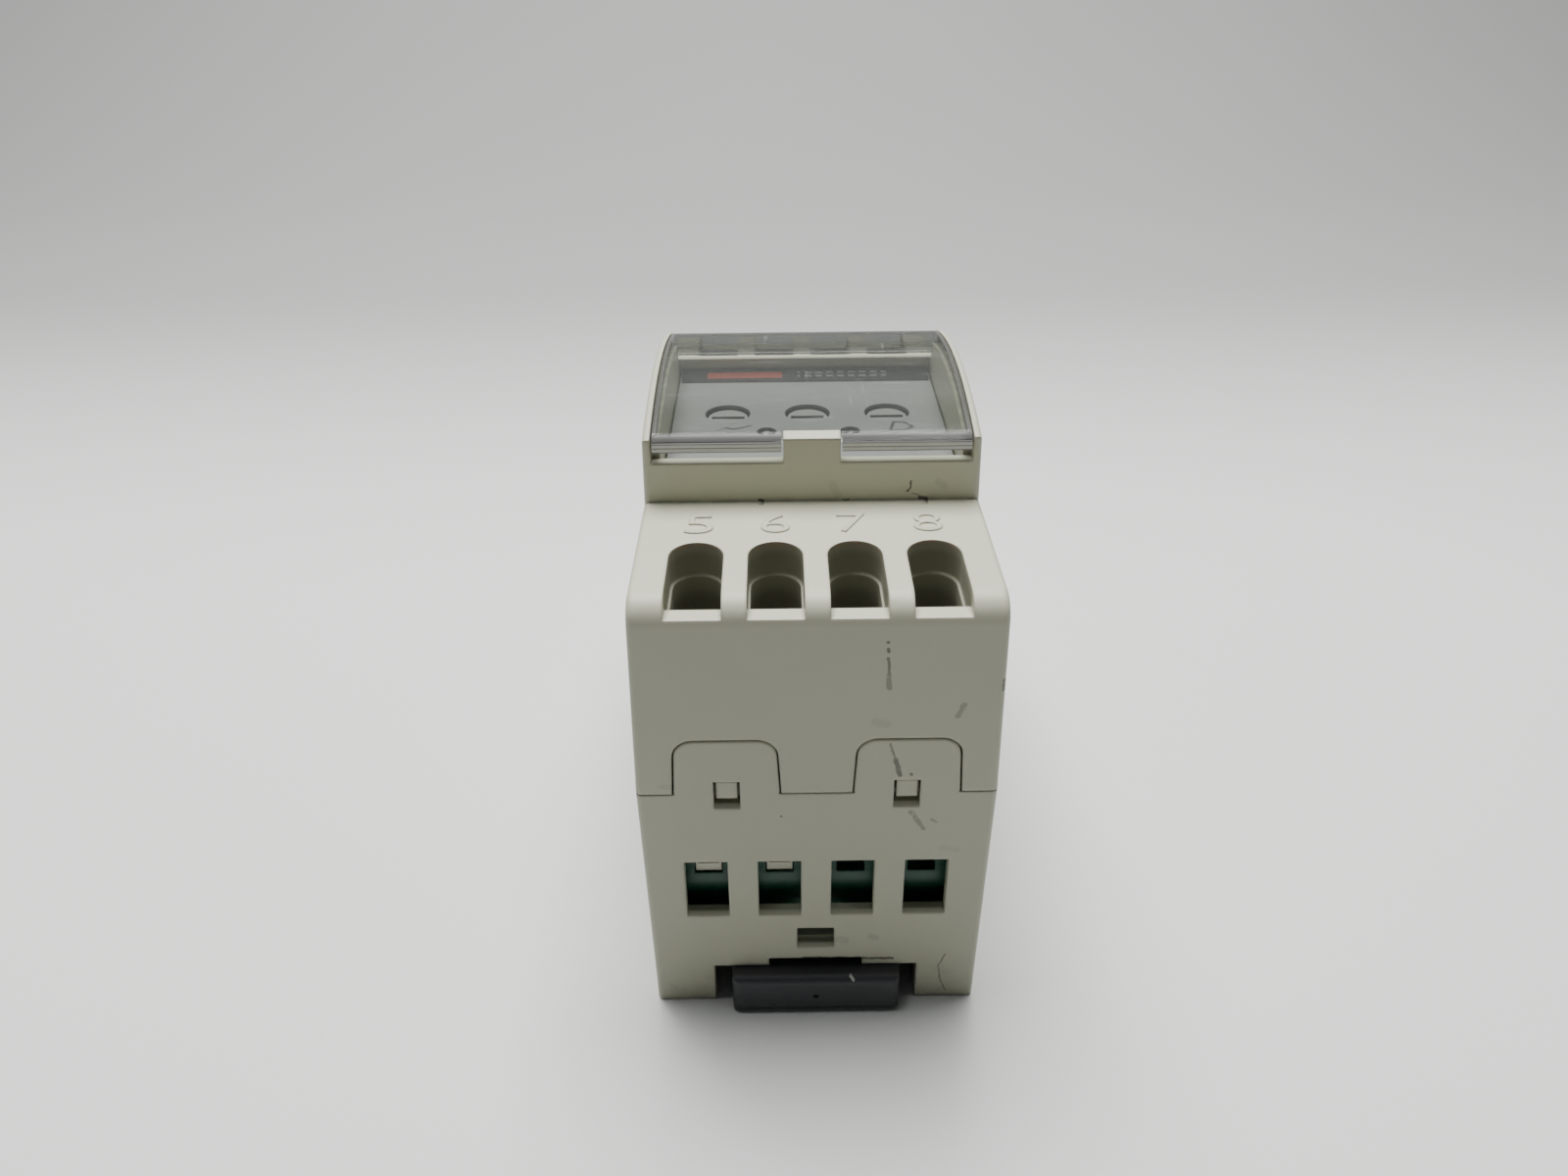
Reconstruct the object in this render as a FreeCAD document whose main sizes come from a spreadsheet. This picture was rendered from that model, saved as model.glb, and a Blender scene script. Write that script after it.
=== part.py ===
import FreeCAD, Part
import math
import os
import re
import Sketcher

# A two-module control relay that snaps on a 35 mm top-hat rail, lying on its back.
# X runs across the housing, Y along it (the clip end at -Y) and Z up, away from the rail.
# The origin is the middle of the housing on the plane of its rail side.

SIZES = {
    # housing
    "case_width": 36.0,
    "case_length": 72.3,
    "joint_height": 30.1,
    "joint_gap": 0.1,
    "shoulder_height": 52.33,
    "shoulder_round": 2.5,
    "edge_round": 0.6,
    "base_draft": 0.75,
    "front_draft": 1.5,
    "side_wall": 1.5,
    "end_wall": 2.0,
    "base_end_wall": 1.3,
    "top_wall": 2.0,
    "floor_wall": 1.45,
    # nose and tray
    "nose_length": 32.3,
    "nose_front_rise": 7.0,
    "nose_rear_rise": 7.0,
    "nose_arc_radius": 58.0,
    "nose_front_wall": 1.35,
    "cheek_inset": 0.81,
    "tray_rim": 0.85,
    "tray_floor_rise": 1.27,
    "tray_floor_wall": 1.5,
    "ledge_rise": 4.4,
    "catch_width": 5.8,
    "catch_rise": 7.35,
    # clear cover
    "cover_wall": 1.2,
    "cover_gap": 0.2,
    "lip_wall": 1.3,
    "lip_rise": 5.6,
    "lip_band": 0.95,
    "lip_step": 0.35,
    "lip_round": 1.0,
    "hinge_setback": 1.5,
    "hinge_rise": 5.5,
    "barrel_radius": 0.85,
    "barrel_room": 0.7,
    "hinge_pin_radius": 0.6,
    "hinge_pin_length": 0.8,
    "running_fit": 0.05,
    # snap tabs and latches
    "tab_offset": 8.95,
    "tab_width": 10.6,
    "tab_taper": 0.25,
    "tab_height": 6.7,
    "tab_round": 2.0,
    "tab_edge_round": 0.25,
    "tab_gap": 0.15,
    "tongue_wall": 1.3,
    "tongue_width": 9.0,
    "tongue_drop": 2.8,
    "latch_width": 2.65,
    "latch_height": 3.1,
    "latch_drop": 1.5,
    "hook_width": 2.1,
    "hook_height": 2.1,
    "hook_inset": 0.25,
    "lip_bevel": 0.45,
    # screw wells
    "pole_pitch": 7.62,
    "well_width": 5.3,
    "well_step": 0.2,
    "well_back": 11.4,
    "well_sill_drop": 1.75,
    "well_step_drop": 3.6,
    "well_wall": 1.2,
    "well_bottom_gap": 1.4,
    # wire windows
    "window_width": 4.5,
    "window_low": 13.5,
    "window_high": 20.95,
    "slot_width": 4.0,
    "slot_low": 8.45,
    "slot_high": 11.1,
    # rail side
    "rail_width": 35.0,
    "rail_flange": 1.0,
    "rail_gap": 0.2,
    "rail_seat": 6.4,
    "hook_reach": 1.3,
    "channel_width": 22.2,
    "channel_height": 5.4,
    "channel_step_width": 10.2,
    "channel_step_height": 6.45,
    "channel_lip": 1.65,
    "channel_lip_height": 1.3,
    "channel_lip_setback": 4.5,
    # rail clip
    "clip_width": 18.3,
    "clip_gap": 0.2,
    "clip_thickness": 5.0,
    "clip_handle": 2.0,
    "clip_reach": 1.2,
    "clip_lead": 3.2,
    "clip_wing": 0.85,
    "clip_wing_thickness": 2.1,
    "clip_travel": 3.5,
    "clip_round": 0.9,
    "dimple_radius": 0.35,
    "dimple_depth": 0.3,
    "post_setback": 4.6,
    "post_wall": 1.5,
    "post_width": 4.0,
    "spring_room": 9.5,
    "spring_radius": 1.5,
    "spring_wire": 0.25,
    "spring_pitch": 1.5,
    # boards
    "board_wall": 1.6,
    "board_clearance": 1.1,
    "board_end_gap": 3.6,
    "front_board_drop": 6.35,
    "front_board_width": 29.0,
    "front_board_length": 29.2,
    "board_post_radius": 1.5,
    "riser_offset": 12.0,
    "riser_length": 26.0,
    "header_length": 22.0,
    "header_depth": 2.5,
    # terminals
    "block_setback": 3.0,
    "block_depth": 10.0,
    "block_height": 21.5,
    "block_side_gap": 0.2,
    "block_bulge": 0.4,
    "block_bulge_radius": 6.0,
    "block_bulge_rise": 3.7,
    "entry_low": 5.6,
    "clamp_width": 2.8,
    "clamp_head_width": 4.4,
    "clamp_depth": 5.8,
    "clamp_height": 8.0,
    "clamp_wall": 0.3,
    "clamp_bar": 1.07,
    "clamp_roof": 1.4,
    "clamp_travel": 4.2,
    "clamp_raised": 4.1,
    "clamp_gap": 0.15,
    "clamp_slide_gap": 0.08,
    "contact_width": 1.8,
    "contact_wall": 0.8,
    "screw_radius": 1.05,
    "screw_head_radius": 1.95,
    "screw_head_height": 1.5,
    "screw_slot": 0.6,
    "screw_slot_depth": 0.8,
    # face
    "plate_wall": 0.9,
    "plate_gap": 0.2,
    "label_back": 27.7,
    "label_length": 2.9,
    "label_wall": 0.15,
    "label_rise": 0.7,
    "adjuster_pitch": 9.2,
    "adjuster_back": 18.0,
    "adjuster_radius": 2.3,
    "adjuster_gap": 0.3,
    "adjuster_recess": 0.5,
    "adjuster_slot": 0.7,
    "trimmer_width": 6.8,
    "trimmer_height": 3.8,
    "led_pitch": 9.4,
    "led_back": 12.9,
    "led_radius": 0.95,
    "led_gap": 0.15,
    # parts on the boards
    "core_length": 18.0,
    "core_height": 20.0,
    "core_stack": 12.0,
    "core_leg": 3.0,
    "core_window": 3.0,
    "core_lift": 2.0,
    "coil_overhang": 5.0,
    "bobbin_wall": 0.8,
    "relay_width": 19.0,
    "relay_length": 12.5,
    "relay_height": 15.0,
    "relay_base_height": 0.9,
    "capacitor_radius": 3.5,
    "capacitor_height": 16.0,
    "disc_radius": 4.0,
    "disc_wall": 2.0,
    "chip_width": 8.0,
    "chip_height": 1.2,
    "resistor_radius": 1.1,
    "resistor_length": 6.0,
    "part_gap": 1.0,
}

# Places that follow from the sizes above.
PLACES = {
    "case_end": "case_length / 2",
    "nose_end": "nose_length / 2",
    "front_bottom": "joint_height + joint_gap",
    # the nose's arc runs between its front and rear corners, with its centre below
    "arc_fall": "nose_front_rise - nose_rear_rise",
    "arc_chord": "sqrt(nose_length ^ 2 + arc_fall ^ 2)",
    "arc_drop": "sqrt(nose_arc_radius ^ 2 - arc_chord ^ 2 / 4)",
    "arc_y": "0 - arc_drop * arc_fall / arc_chord",
    "arc_z": "shoulder_height + (nose_front_rise + nose_rear_rise) / 2"
    " - arc_drop * nose_length / arc_chord",
    "cheek_inner": "case_width / 2 - cheek_inset - (shoulder_height + nose_rear_rise - joint_height)"
    " * tan(front_draft * 1 deg)",
    "tray_half": "cheek_inner - tray_rim",
    "tray_floor": "shoulder_height + tray_floor_rise",
    "hinge_y": "nose_end - hinge_setback",
    "hinge_z": "shoulder_height + hinge_rise",
    "cavity_half": "case_width / 2 - joint_height * tan(base_draft * 1 deg) - side_wall",
    "cavity_floor": "channel_step_height + floor_wall",
    "board_bottom": "cavity_floor + board_clearance",
    "board_top": "board_bottom + board_wall",
    "front_board_top": "tray_floor - front_board_drop",
    "front_board_bottom": "front_board_top - board_wall",
    "rail_half": "rail_width / 2 + rail_gap",
    "clip_top": "clip_gap + clip_thickness",
    "clip_nose": "0 - rail_width / 2 + clip_reach",
    "post_y": "0 - case_end + post_setback",
    "spring_start": "post_y + post_wall",
    "block_top": "board_top + block_height",
    "block_front": "block_setback + block_bulge",
    "clamp_low": "board_top + entry_low + clamp_slide_gap",
    "clamp_front": "block_front + clamp_gap",
    "screw_back": "clamp_front + clamp_depth / 2",
    "clamp_ceiling": "clamp_low + clamp_height + clamp_travel + clamp_gap",
    "contact_top": "clamp_low + clamp_height - clamp_roof - 2 * clamp_gap",
    "contact_back": "clamp_front + clamp_depth + 2 * clamp_gap + contact_wall",
    "plate_top": "tray_floor + plate_wall",
    "adjuster_y": "adjuster_back - nose_end",
    "led_y": "led_back - nose_end",
    "trimmer_top": "front_board_top + trimmer_height",
    "core_bottom": "board_top + core_lift",
    "core_y": "0 - part_gap - core_length / 2",
    "core_x": "0 - core_stack / 6",
    "relay_y": "part_gap + relay_length / 2",
}

doc = FreeCAD.newDocument("relay_module")
sheet = doc.addObject("Spreadsheet::Sheet", "Sizes")
for row, (alias, size) in enumerate(SIZES.items(), 1):
    sheet.set(f"A{row}", alias.replace("_", " "))
    sheet.set(f"B{row}", str(size))
    sheet.setAlias(f"B{row}", alias)
doc.recompute()


def named(expression):
    """The expression with each place spelled out and each size's name pointed at the sheet."""

    def spell(word):
        if word[0] in PLACES:
            return f"({named(PLACES[word[0]])})"
        return f"Sizes.{word[0]}" if word[0] in SIZES else word[0]

    return re.sub(r"[a-z_]+", spell, str(expression))


def value(expression):
    """What the expression comes to with the sheet's present sizes."""
    found = sheet.evalExpression(named(expression))
    return float(getattr(found, "Value", found))


TURNS = {
    "x": FreeCAD.Rotation(FreeCAD.Vector(0, 1, 0), 90),
    "y": FreeCAD.Rotation(FreeCAD.Vector(1, 0, 0), -90),
    "z": FreeCAD.Rotation(),
}


def place(piece, x, y, z, rotation=None):
    """Puts a piece at a point given by three expressions."""
    if rotation:
        piece.Placement = FreeCAD.Placement(FreeCAD.Vector(), rotation)
    for axis, expression in zip("xyz", (x, y, z)):
        piece.setExpression(f"Placement.Base.{axis}", named(expression))
    return piece


def box(name, x, y, z):
    """A block between two limits along each axis."""
    block = doc.addObject("Part::Box", name)
    for side, (low, high) in zip(("Length", "Width", "Height"), (x, y, z)):
        block.setExpression(side, named(f"({high}) - ({low})"))
    return place(block, x[0], y[0], z[0])


def middle(width):
    """Limits of a width centred on zero."""
    return (f"0 - ({width}) / 2", f"({width}) / 2")


def about(centre, width):
    """Limits of a width centred on a place."""
    return (f"{centre} - ({width}) / 2", f"{centre} + ({width}) / 2")


def cylinder(name, radius, axis, centre, low, high):
    """A round bar along an axis, centred on the two other coordinates, between two limits."""
    bar = doc.addObject("Part::Cylinder", name)
    bar.setExpression("Radius", named(radius))
    bar.setExpression("Height", named(f"({high}) - ({low})"))
    at = list(centre)
    at.insert("xyz".index(axis), low)
    return place(bar, *at, TURNS[axis])


def fuse(name, *pieces):
    """One solid of several pieces."""
    whole = doc.addObject("Part::MultiFuse", name)
    whole.Shapes = list(pieces)
    whole.Refine = True
    return whole


def group(name, *pieces):
    """Separate solids kept in one sub-part."""
    whole = doc.addObject("Part::Compound", name)
    whole.Links = list(pieces)
    return whole


def cut(name, base, *tools):
    """The base with every tool taken away."""
    whole = doc.addObject("Part::Cut", name)
    whole.Base = base
    whole.Tool = tools[0] if len(tools) == 1 else group(f"{name}_tools", *tools)
    whole.Refine = True
    return whole


def common(name, first, second):
    """What two pieces share."""
    whole = doc.addObject("Part::Common", name)
    whole.Base, whole.Tool = first, second
    return whole


def rounded(name, base, radius, wanted):
    """The base with a fillet on each edge whose middle point passes the test."""
    doc.recompute()
    edges = []
    for number, edge in enumerate(base.Shape.Edges, 1):
        at = edge.valueAt((edge.FirstParameter + edge.LastParameter) / 2)
        if wanted(at, edge):
            edges.append((number, value(radius), value(radius)))
    if not edges:
        raise ValueError(f"{name} found no edge to round")
    soft = doc.addObject("Part::Fillet", name)
    soft.Base = base
    soft.Edges = edges
    return soft


PLANES = {"x": "YZ_Plane", "y": "XZ_Plane", "z": "XY_Plane"}


def arc_through(start, end, radius):
    """The shorter arc between two points. A positive radius bulges to the left of the way."""
    way = end - start
    half = way.Length / 2
    side = FreeCAD.Vector(-way.y, way.x, 0).normalize() * math.copysign(1, radius)
    rise = abs(radius) - math.sqrt(radius**2 - half**2)
    return Part.Arc(start, (start + end) / 2 + side * rise, end)


def outline(name, normal, corners, thickness):
    """A body padded both ways from a sketch on one of its own planes.

    Each corner is (across, up) in expressions, with a third for the radius of an arc that
    runs on to the next corner. It is positive where the arc bulges to the left of the way."""
    body = doc.addObject("PartDesign::Body", name)
    sketch = body.newObject("Sketcher::SketchObject", f"{name}_sketch")
    plane = next(f for f in body.Origin.OriginFeatures if f.Role == PLANES[normal])
    sketch.AttachmentSupport = [(plane, "")]
    sketch.MapMode = "FlatFace"
    points = [FreeCAD.Vector(value(c[0]), value(c[1]), 0) for c in corners]
    starts = []
    for index, corner in enumerate(corners):
        start, end = points[index], points[(index + 1) % len(points)]
        if len(corner) == 3:
            bend = arc_through(start, end, value(corner[2]))
            edge = sketch.addGeometry(bend)
            near = (sketch.getPoint(edge, 1) - start).Length < (sketch.getPoint(edge, 2) - start).Length
            starts.append(1 if near else 2)
        else:
            edge = sketch.addGeometry(Part.LineSegment(start, end))
            starts.append(1)
    for edge, corner in enumerate(corners):
        after = (edge + 1) % len(corners)
        finish = 3 - starts[edge]
        sketch.addConstraint(Sketcher.Constraint("Coincident", edge, finish, after, starts[after]))
    for edge, corner in enumerate(corners):
        for kind, expression, axis in (("DistanceX", corner[0], -2), ("DistanceY", corner[1], -1)):
            if expression == "0":
                sketch.addConstraint(Sketcher.Constraint("PointOnObject", edge, starts[edge], axis))
                continue
            at = value(expression)
            link = Sketcher.Constraint(kind, -1, 1, edge, starts[edge], at)
            number = sketch.addConstraint(link)
            sketch.setExpression(f"Constraints[{number}]", named(expression))
        if len(corner) == 3:
            number = sketch.addConstraint(Sketcher.Constraint("Radius", edge, abs(value(corner[2]))))
            sketch.setExpression(f"Constraints[{number}]", named(f"abs({corner[2]})"))
    pad = body.newObject("PartDesign::Pad", f"{name}_pad")
    pad.Profile = sketch
    pad.Midplane = True
    pad.setExpression("Length", named(thickness))
    return body


def on_arc(y, inset="0"):
    """Height of the nose's arc, or of one inside it, at a place along the housing."""
    return f"arc_z + sqrt((nose_arc_radius - ({inset})) ^ 2 - (({y}) - (arc_y)) ^ 2)"


def inward(end, start, stop):
    """Limits along Y of a stretch measured inward from the near (-1) or far (1) end face."""
    if end < 0:
        return (f"{start} - case_end", f"{stop} - case_end")
    return (f"case_end - ({stop})", f"case_end - ({start})")


def inward_at(end, depth):
    """A place along Y measured inward from an end face."""
    return f"{depth} - case_end" if end < 0 else f"case_end - ({depth})"


def bevel(name, x, end, z):
    """A square bar set on its corner, which bevels the outer edge of a sill."""
    bar = doc.addObject("Part::Box", name)
    bar.setExpression("Length", named(f"({x[1]}) - ({x[0]})"))
    for side in ("Width", "Height"):
        bar.setExpression(side, named("lip_bevel * sqrt(2)"))
    turn = FreeCAD.Rotation(FreeCAD.Vector(1, 0, 0), 45)
    return place(bar, x[0], inward_at(end, "0"), f"{z} - lip_bevel", turn)


ENDS = {"near": -1, "far": 1}
POLES = [f"({step}) * pole_pitch" for step in (-1.5, -0.5, 0.5, 1.5)]
TABS = {"left": "0 - tab_offset", "right": "tab_offset"}
NUMBERS = {"near": (5, 6, 7, 8), "far": (1, 2, 3, 4)}
RAISED = (7, 8)


def drafted(name, low, high, width_at_joint, draft, length):
    """A block whose sides lean in away from the joint line."""
    lean = f"abs(({high}) - ({low})) * tan({draft} * 1 deg)"
    narrow, wide = f"({width_at_joint}) / 2 - {lean}", f"({width_at_joint}) / 2"
    bottom, top = (narrow, wide) if low == "0" else (wide, narrow)
    corners = [
        (f"0 - ({bottom})", low),
        (bottom, low),
        (top, high),
        (f"0 - ({top})", high),
    ]
    return outline(name, "y", corners, length)


def tab_shape(name, end, centre, gap):
    """A snap tab, narrowing upwards to two round shoulders. With a gap it is its notch."""
    half = f"tab_width / 2 + {gap}"
    tip = f"tab_width / 2 - tab_taper + {gap}"
    radius = f"tab_round + {gap}"
    top = f"joint_height + tab_height + {gap}"
    foot = "joint_height - joint_gap" if gap == "0" else "joint_height - 2 * joint_gap"
    corners = [
        (f"{centre} - ({half})", foot),
        (f"{centre} - ({tip})", f"{top} - ({radius})", radius),
        (f"{centre} - ({tip}) + {radius}", top),
        (f"{centre} + {tip} - ({radius})", top, radius),
        (f"{centre} + {tip}", f"{top} - ({radius})"),
        (f"{centre} + {half}", foot),
    ]
    depth = "base_end_wall" if gap == "0" else f"base_end_wall + {gap}"
    tab = outline(name, "y", corners, depth if gap == "0" else f"({depth}) * 2")
    y = inward_at(end, "base_end_wall / 2") if gap == "0" else inward_at(end, "0")
    place(tab, "0", y, "0")
    if gap != "0":
        return tab
    face = value("case_end") - 0.01
    return rounded(f"{name}_soft", tab, "tab_edge_round",
                   lambda at, edge: end * at.y > face and at.z > value("joint_height") + 0.1)


def base_housing():
    """The lower shell: rail groove, clip channel, wire windows and the four snap tabs."""
    block = drafted("base_block", "0", "joint_height", "case_width", "base_draft", "case_length")
    corner = value("case_width / 2 - joint_height * tan(base_draft * 1 deg)") - 0.1
    soft = rounded(
        "base_soft", block, "edge_round",
        lambda at, edge: abs(at.x) > corner and abs(at.y) > value("case_end") - 0.1
        and 1 < at.z < value("joint_height") - 1,
    )
    rail = "rail_half"
    hollows = [
        box("base_cavity", middle("2 * cavity_half"), middle("case_length - 2 * base_end_wall"),
            ("cavity_floor", "joint_height + 1")),
        box("rail_seat_groove", middle("case_width + 2"), middle(f"2 * {rail}"),
            ("rail_seat - rail_flange - rail_gap", "rail_seat")),
        box("rail_groove", middle("case_width + 2"), (f"0 - {rail}", "rail_width / 2 - hook_reach"),
            ("0 - 1", "rail_seat - rail_flange / 2")),
        box("clip_channel", middle("channel_width"), ("0 - case_end - 1", f"1 - {rail}"),
            ("0 - 1", "channel_height")),
        box("clip_channel_step", middle("channel_step_width"), ("0 - case_end - 1", f"1 - {rail}"),
            ("0 - 1", "channel_step_height")),
        box("far_foot_hollow", middle("2 * cavity_half"),
            (f"{rail} + floor_wall", "case_end - base_end_wall"), ("floor_wall", "cavity_floor + 1")),
    ]
    for side, sign in (("left", "0 - "), ("right", "")):
        low, high = "channel_width / 2 + side_wall", "cavity_half"
        x = (f"0 - {high}", f"0 - ({low})") if sign else (low, high)
        hollows.append(
            box(f"near_foot_hollow_{side}", x,
                ("base_end_wall - case_end", f"0 - {rail} - floor_wall"), ("floor_wall", "cavity_floor + 1"))
        )
    shell = cut("base_shell", soft, *hollows)
    extras = [
        box("spring_post", middle("post_width"), ("post_y", "spring_start"), ("1", "cavity_floor - 0.1")),
        box("board_rib_left", about("0 - cavity_half / 2", "2"), middle("rail_width - 2"),
            ("cavity_floor - 0.1", "board_bottom")),
        box("board_rib_right", about("cavity_half / 2", "2"), middle("rail_width - 2"),
            ("cavity_floor - 0.1", "board_bottom")),
    ]
    for side, sign in (("left", -1), ("right", 1)):
        inner, outer = "channel_width / 2 - channel_lip", "channel_width / 2 + 0.1"
        x = (f"0 - ({outer})", f"0 - ({inner})") if sign < 0 else (inner, outer)
        extras.append(
            box(f"channel_lip_{side}", x, ("channel_lip_setback - case_end", f"0 - {rail}"),
                ("0", "channel_lip_height"))
        )
    for end_name, end in ENDS.items():
        for side, centre in TABS.items():
            extras.append(tab_shape(f"{end_name}_{side}_tab", end, centre, "0"))
    body = fuse("base_body", shell, *extras)
    holes = []
    for end_name, end in ENDS.items():
        through = inward(end, "0 - 1", "base_end_wall + 0.5")
        for number, pole in zip(NUMBERS[end_name], POLES):
            x = about(pole, "window_width")
            holes.append(box(f"wire_window_{number}", x, through, ("window_low", "window_high")))
            holes.append(bevel(f"wire_window_{number}_bevel", x, end, "window_low"))
        for side, centre in TABS.items():
            x = about(centre, "latch_width")
            sill = "joint_height - latch_drop"
            holes.append(box(f"{end_name}_{side}_latch_window", x, through,
                             (sill, f"{sill} + latch_height")))
            holes.append(bevel(f"{end_name}_{side}_latch_bevel", x, end, sill))
        holes.append(box(f"{end_name}_slot", middle("slot_width"), through, ("slot_low", "slot_high")))
        holes.append(bevel(f"{end_name}_slot_bevel", middle("slot_width"), end, "slot_low"))
    return cut("base_housing", body, *holes)


def well_cut(name, end, pole):
    """The access well of one terminal screw: a U open to the end face above its sill."""
    centre_back = "well_back - well_width / 2"
    top, step = "shoulder_height + 1", "shoulder_height - well_step_drop"
    bottom = "block_top"
    upper, lower = "well_width / 2", "well_width / 2 - well_step"
    y = inward_at(end, centre_back)
    return [
        box(f"{name}_mouth", about(pole, "well_width"), inward(end, "0 - 1", centre_back),
            ("shoulder_height - well_sill_drop", top)),
        box(f"{name}_upper", about(pole, "well_width"), inward(end, "end_wall", centre_back),
            (step, top)),
        cylinder(f"{name}_upper_arch", upper, "z", (pole, y), step, top),
        box(f"{name}_lower", about(pole, "well_width - 2 * well_step"),
            inward(end, "end_wall + well_step", centre_back), (bottom, f"{step} + 0.1")),
        cylinder(f"{name}_lower_arch", lower, "z", (pole, y), bottom, f"{step} + 0.1"),
    ]


def front_housing():
    """The upper shell: shoulders with screw wells, the nose with its tray, cheeks and catch."""
    length, round_off = "case_end", "shoulder_round"
    top = "shoulder_height"
    side = outline("front_side", "x", [
        ("0 - case_end", "front_bottom"),
        ("0 - case_end", f"{top} - {round_off}", round_off),
        (f"{round_off} - case_end", top),
        ("0 - nose_end", top),
        ("0 - nose_end", f"{top} + nose_front_rise", "nose_arc_radius"),
        ("nose_end", f"{top} + nose_rear_rise"),
        ("nose_end", top),
        (f"{length} - {round_off}", top, round_off),
        (length, f"{top} - {round_off}"),
        (length, "front_bottom"),
    ], "case_width + 2")
    leaning = drafted("front_block", "front_bottom", "shoulder_height + 2 * nose_front_rise",
                      "case_width", "front_draft", "case_length + 2")
    block = common("front_form", side, leaning)

    def along_side(at, edge):
        """Edges of the leaning sides, apart from the joint line."""
        lean = (at.z - value("front_bottom")) * math.tan(math.radians(value("front_draft")))
        return abs(abs(at.x) - (value("case_width / 2") - lean)) < 0.01 and at.z > value("front_bottom") + 0.1

    soft = rounded("front_soft", block, "edge_round", along_side)
    cavity = drafted("front_cavity", "joint_height", "shoulder_height - top_wall",
                     "case_width - 2 * side_wall", "front_draft", "case_length - 2 * end_wall")
    nose_hollow = box("nose_hollow", middle("2 * tray_half"),
                      middle("nose_length - 2 * nose_front_wall"),
                      ("shoulder_height - top_wall - 0.1", "tray_floor - tray_floor_wall"))
    shell = cut("front_shell", soft, cavity, nose_hollow)

    extras, cuts = [], []
    pole_span = "3 * pole_pitch + well_width + 2 * well_wall"
    for end_name, end in ENDS.items():
        extras.append(
            box(f"{end_name}_well_block", middle(pole_span),
                inward(end, "end_wall - 0.1", "well_back + well_wall"),
                ("block_top + well_bottom_gap", "shoulder_height - top_wall + 0.1"))
        )
        for number, pole in zip(NUMBERS[end_name], POLES):
            cuts += well_cut(f"well_{number}", end, pole)
        for side_name, centre in TABS.items():
            name = f"{end_name}_{side_name}"
            cuts.append(tab_shape(f"{name}_notch", end, centre, "tab_gap"))
            extras.append(
                box(f"{name}_tongue", about(centre, "tongue_width"),
                    inward(end, "base_end_wall + tab_gap", "base_end_wall + tab_gap + tongue_wall"),
                    ("joint_height - tongue_drop", "joint_height + tab_height + end_wall"))
            )
    for x_name, x in (("left", "3 - tray_half"), ("right", "tray_half - 3")):
        for y_name, y in (("front", "3 - nose_end"), ("rear", "nose_end - 3")):
            extras.append(cylinder(f"board_post_{x_name}_{y_name}", "board_post_radius", "z", (x, y),
                                   "front_board_top", "tray_floor - tray_floor_wall + 0.1"))
    with_blocks = fuse("front_with_blocks", shell, *extras)

    # the cover lies in a pocket between the cheeks, and goes round the catch at the front
    above = "shoulder_height + 2 * nose_front_rise"
    catch = box("catch_keep", middle("catch_width"), ("0 - nose_end - 1", "nose_front_wall - nose_end"),
                ("shoulder_height", "shoulder_height + catch_rise"))
    pocket_block = box("cover_pocket_block", middle("2 * cheek_inner"), middle("nose_length + 2"),
                       ("shoulder_height - 1", above))
    under_cover = cylinder("under_cover", "nose_arc_radius - cover_wall - cover_gap", "x",
                           ("arc_y", "arc_z"), "0 - case_width", "case_width")
    cuts.append(cut("cover_pocket", pocket_block, under_cover, catch))
    cuts.append(box("tray", middle("2 * tray_half"), ("nose_front_wall - nose_end", "nose_end - nose_front_wall"),
                    ("tray_floor", above)))
    cuts.append(box("barrel_groove", middle("2 * cheek_inner"),
                    ("hinge_y - barrel_radius - cover_gap", "nose_end + 1"),
                    ("hinge_z - barrel_radius - barrel_room", above)))
    for side_name, x in (("left", ("0 - cheek_inner", "0 - catch_width / 2")),
                         ("right", ("catch_width / 2", "cheek_inner"))):
        cuts.append(box(f"finger_ledge_{side_name}", x, ("0 - nose_end - 1", "nose_front_wall - nose_end + 0.1"),
                        ("shoulder_height + ledge_rise", above)))
    cuts.append(cylinder("hinge_holes", "hinge_pin_radius + running_fit", "x", ("hinge_y", "hinge_z"),
                         "0 - case_width", "case_width"))
    for index, x in enumerate(("0 - adjuster_pitch", "0", "adjuster_pitch"), 1):
        cuts.append(cylinder(f"tray_adjuster_hole_{index}", "adjuster_radius + adjuster_gap", "z",
                             (x, "adjuster_y"), "tray_floor - tray_floor_wall - 1", "tray_floor + 1"))
    for index, x in enumerate(("0 - led_pitch / 2", "led_pitch / 2"), 1):
        cuts.append(cylinder(f"tray_led_hole_{index}", "led_radius + led_gap", "z", (x, "led_y"),
                             "tray_floor - tray_floor_wall - 1", "tray_floor + 1"))
    carved = cut("front_carved", with_blocks, *cuts)
    hooks = [
        box(f"{end_name}_{side_name}_hook", about(centre, "hook_width"),
            inward(end, "hook_inset", "base_end_wall + tab_gap + 0.1"),
            ("joint_height - latch_drop + latch_height - 0.2 - hook_height",
             "joint_height - latch_drop + latch_height - 0.2"))
        for end_name, end in ENDS.items() for side_name, centre in TABS.items()
    ]
    return fuse("front_housing", carved, *hooks)


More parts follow.
